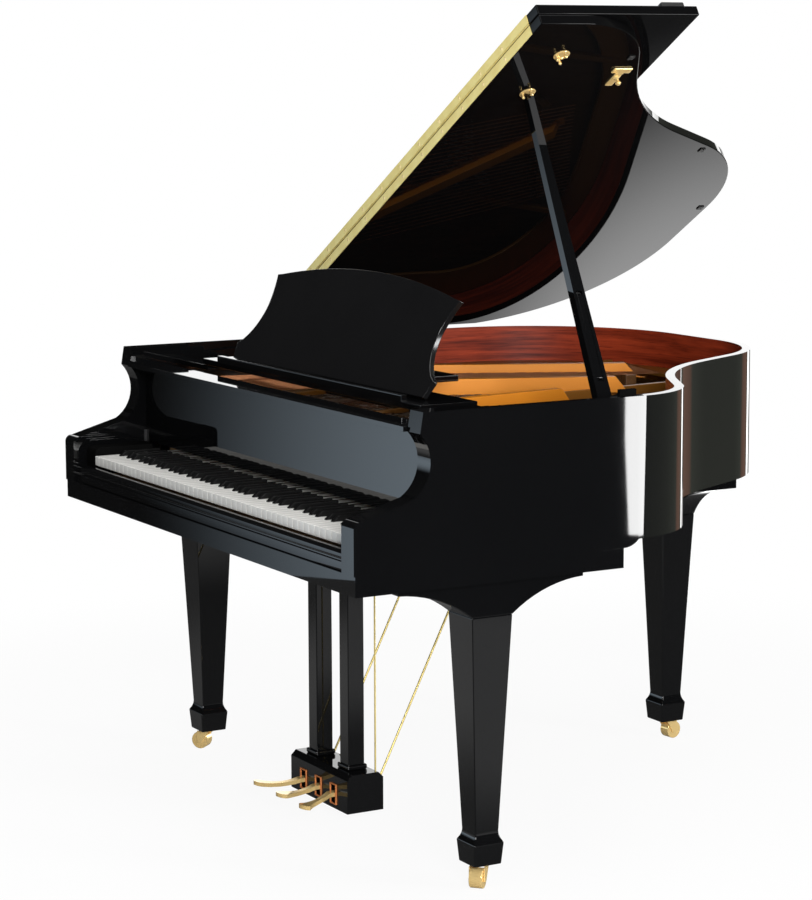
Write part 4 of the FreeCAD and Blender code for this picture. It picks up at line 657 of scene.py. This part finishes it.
def glossyRay(tree, path):
    shiny = addNode(tree, "ShaderNodeMath", operation="MAXIMUM")
    tree.links.new(path.outputs["Is Glossy Ray"], shiny.inputs[0])
    tree.links.new(path.outputs["Is Transmission Ray"], shiny.inputs[1])
    return shiny.outputs[0]


def distanceFrom(tree, point, place):
    reach = addNode(tree, "ShaderNodeVectorMath", operation="DISTANCE")
    tree.links.new(point, reach.inputs[0])
    reach.inputs[1].default_value = (*place, 0)
    return reach.outputs["Value"]


def floorMaterial():
    material, tree, shader = newMaterial("floorPale")
    tree.nodes.remove(shader)
    links = tree.links
    point = objectPoint(tree)
    path = tree.nodes.new("ShaderNodeLightPath")
    pale = addNode(tree, "ShaderNodeBsdfDiffuse")
    pale.inputs["Color"].default_value = (*[studio["floorColor"]] * 3, 1)
    white = addNode(tree, "ShaderNodeEmission", Strength=1.0)
    share = tree.nodes.new("ShaderNodeMapRange")
    share.interpolation_type = "SMOOTHSTEP"
    share.inputs["From Min"].default_value = studio["plainFrom"]
    share.inputs["From Max"].default_value = studio["plainBy"]
    share.inputs["To Min"].default_value = studio["whiteShare"]
    links.new(distanceFrom(tree, point, (0, 0)), share.inputs["Value"])
    seen = addNode(tree, "ShaderNodeMath", operation="MULTIPLY")
    links.new(share.outputs["Result"], seen.inputs[0])
    links.new(path.outputs["Is Camera Ray"], seen.inputs[1])
    plainMix = tree.nodes.new("ShaderNodeMixShader")
    links.new(seen.outputs[0], plainMix.inputs["Fac"])
    links.new(pale.outputs[0], plainMix.inputs[1])
    links.new(white.outputs[0], plainMix.inputs[2])
    total = None
    # painted reflections: emission patches that glossy and transmission rays see instead of the lit floor
    for place, full, gone, strength in paintedFloorReflections:
        paintedGlow = addNode(tree, "ShaderNodeMath", operation="MULTIPLY_ADD")
        paintedGlow.inputs[1].default_value = strength
        paintedGlow.inputs[2].default_value = studio["paintedReflectionBase"]
        links.new(smoothFall(tree, distanceFrom(tree, point, place), gone, full), paintedGlow.inputs[0])
        if total:
            links.new(total, paintedGlow.inputs[2])
        total = paintedGlow.outputs[0]
    paintedReflection = tree.nodes.new("ShaderNodeEmission")
    links.new(total, paintedReflection.inputs["Strength"])
    glossMix = tree.nodes.new("ShaderNodeMixShader")
    links.new(glossyRay(tree, path), glossMix.inputs["Fac"])
    links.new(plainMix.outputs[0], glossMix.inputs[1])
    links.new(paintedReflection.outputs[0], glossMix.inputs[2])
    links.new(glossMix.outputs[0], tree.nodes["Material Output"].inputs["Surface"])
    return material


def buildFloor():
    shape = bmesh.new()
    bmesh.ops.create_circle(shape, cap_ends=True, segments=studio["floorSides"], radius=studio["floorRadius"])
    bmesh.ops.translate(shape, vec=studio["floorMiddle"], verts=shape.verts)
    mesh = bpy.data.meshes.new("floor")
    shape.to_mesh(mesh)
    shape.free()
    floor = bpy.data.objects.new("floor", mesh)
    scene.collection.objects.link(floor)
    mesh.materials.append(floorMaterial())


def towards(heading, height):
    heading, height = math.radians(heading), math.radians(height)
    return Vector((math.cos(heading) * math.cos(height), math.sin(heading) * math.cos(height), math.sin(height)))


def buildWorld():
    # white for the camera, an even grey for matt surfaces, and painted reflections of soft lights in a dark room for
    # gloss
    world = bpy.data.worlds.new("studio")
    scene.world = world
    world.use_nodes = True
    tree = world.node_tree
    links = tree.links
    background = tree.nodes["Background"]
    coord = tree.nodes.new("ShaderNodeTexCoord")
    path = tree.nodes.new("ShaderNodeLightPath")
    total = None
    for heading, height, full, gone, color, strength in paintedSkyReflections:
        aim = addNode(tree, "ShaderNodeVectorMath", operation="DOT_PRODUCT")
        aim.inputs[1].default_value = towards(heading, height)
        links.new(coord.outputs["Generated"], aim.inputs[0])
        mask = smoothFall(tree, aim.outputs["Value"], math.cos(math.radians(gone)), math.cos(math.radians(full)))
        reflectionPatch = addNode(tree, "ShaderNodeVectorMath", operation="MULTIPLY_ADD")
        reflectionPatch.inputs[1].default_value = Vector(color) * strength
        reflectionPatch.inputs[2].default_value = [studio["dark"]] * 3
        links.new(mask, reflectionPatch.inputs[0])
        if total:
            links.new(total, reflectionPatch.inputs[2])
        total = reflectionPatch.outputs[0]
    mattMix = addNode(tree, "ShaderNodeMix", data_type="RGBA")
    mattMix.inputs[6].default_value = (*[studio["ambient"]] * 3, 1)
    links.new(glossyRay(tree, path), mattMix.inputs["Factor"])
    links.new(total, mattMix.inputs[7])
    cameraMix = addNode(tree, "ShaderNodeMix", data_type="RGBA")
    cameraMix.inputs[7].default_value = (1, 1, 1, 1)
    links.new(path.outputs["Is Camera Ray"], cameraMix.inputs["Factor"])
    links.new(mattMix.outputs[2], cameraMix.inputs[6])
    links.new(cameraMix.outputs[2], background.inputs["Color"])


lamps = {
    # name: (place, aim, width, height, watts)
    "overhead": ((0.3, -0.2, 3.6), (0, 0, 0.8), 3.0, 3.0, 95),
    "bendStrip": ((3.79, 2.45, 1.25), (0.715, -0.1, 1.25), 0.74, 2.5, 116),
    "tailStrip": ((-1.5, 3.13, 1.25), (0.14, 0.62, 1.25), 0.34, 2.5, 12),
    "insideFill": ((4.6, -1.9, 1.75), (-0.3, 0.2, 0.95), 1.5, 1.1, 210),
}


def addLamp(name, place, aim, width, height, watts):
    data = bpy.data.lights.new(name, "AREA")
    data.shape = "RECTANGLE"
    data.size = width
    data.size_y = height
    data.energy = watts
    lamp = bpy.data.objects.new(name, data)
    scene.collection.objects.link(lamp)
    lamp.location = place
    lamp.rotation_euler = (Vector(aim) - Vector(place)).to_track_quat("-Z", "Y").to_euler()
    lamp.visible_camera = False


# the camera was fitted to the photograph: place in metres, angles in radians, focal length in pixels
shot = {"place": (5.14786, -3.13181, 1.65162), "turn": -1.055, "pitch": 0.143, "roll": -0.003, "focal": 2681.7,
        "frame": 900, "sensor": 36, "far": 100}


def buildCamera():
    turn, pitch = shot["turn"], shot["pitch"]
    ahead = Vector((math.sin(turn) * math.cos(pitch), math.cos(turn) * math.cos(pitch), -math.sin(pitch)))
    side = Vector((math.cos(turn), -math.sin(turn), 0))
    up = side.cross(ahead)
    level = Matrix((side, up, -ahead)).transposed()
    data = bpy.data.cameras.new("photoCamera")
    data.sensor_width = shot["sensor"]
    data.lens = shot["focal"] * data.sensor_width / shot["frame"]
    data.clip_end = shot["far"]
    camera = bpy.data.objects.new("photoCamera", data)
    camera.matrix_world = Matrix.Translation(shot["place"]) @ (level @ Matrix.Rotation(shot["roll"], 3, "Z")).to_4x4()
    scene.collection.objects.link(camera)
    scene.camera = camera


scene.view_settings.view_transform = "Standard"
buildFloor()
buildWorld()
for name, values in lamps.items():
    addLamp(name, *values)
buildCamera()
print("stage ready")
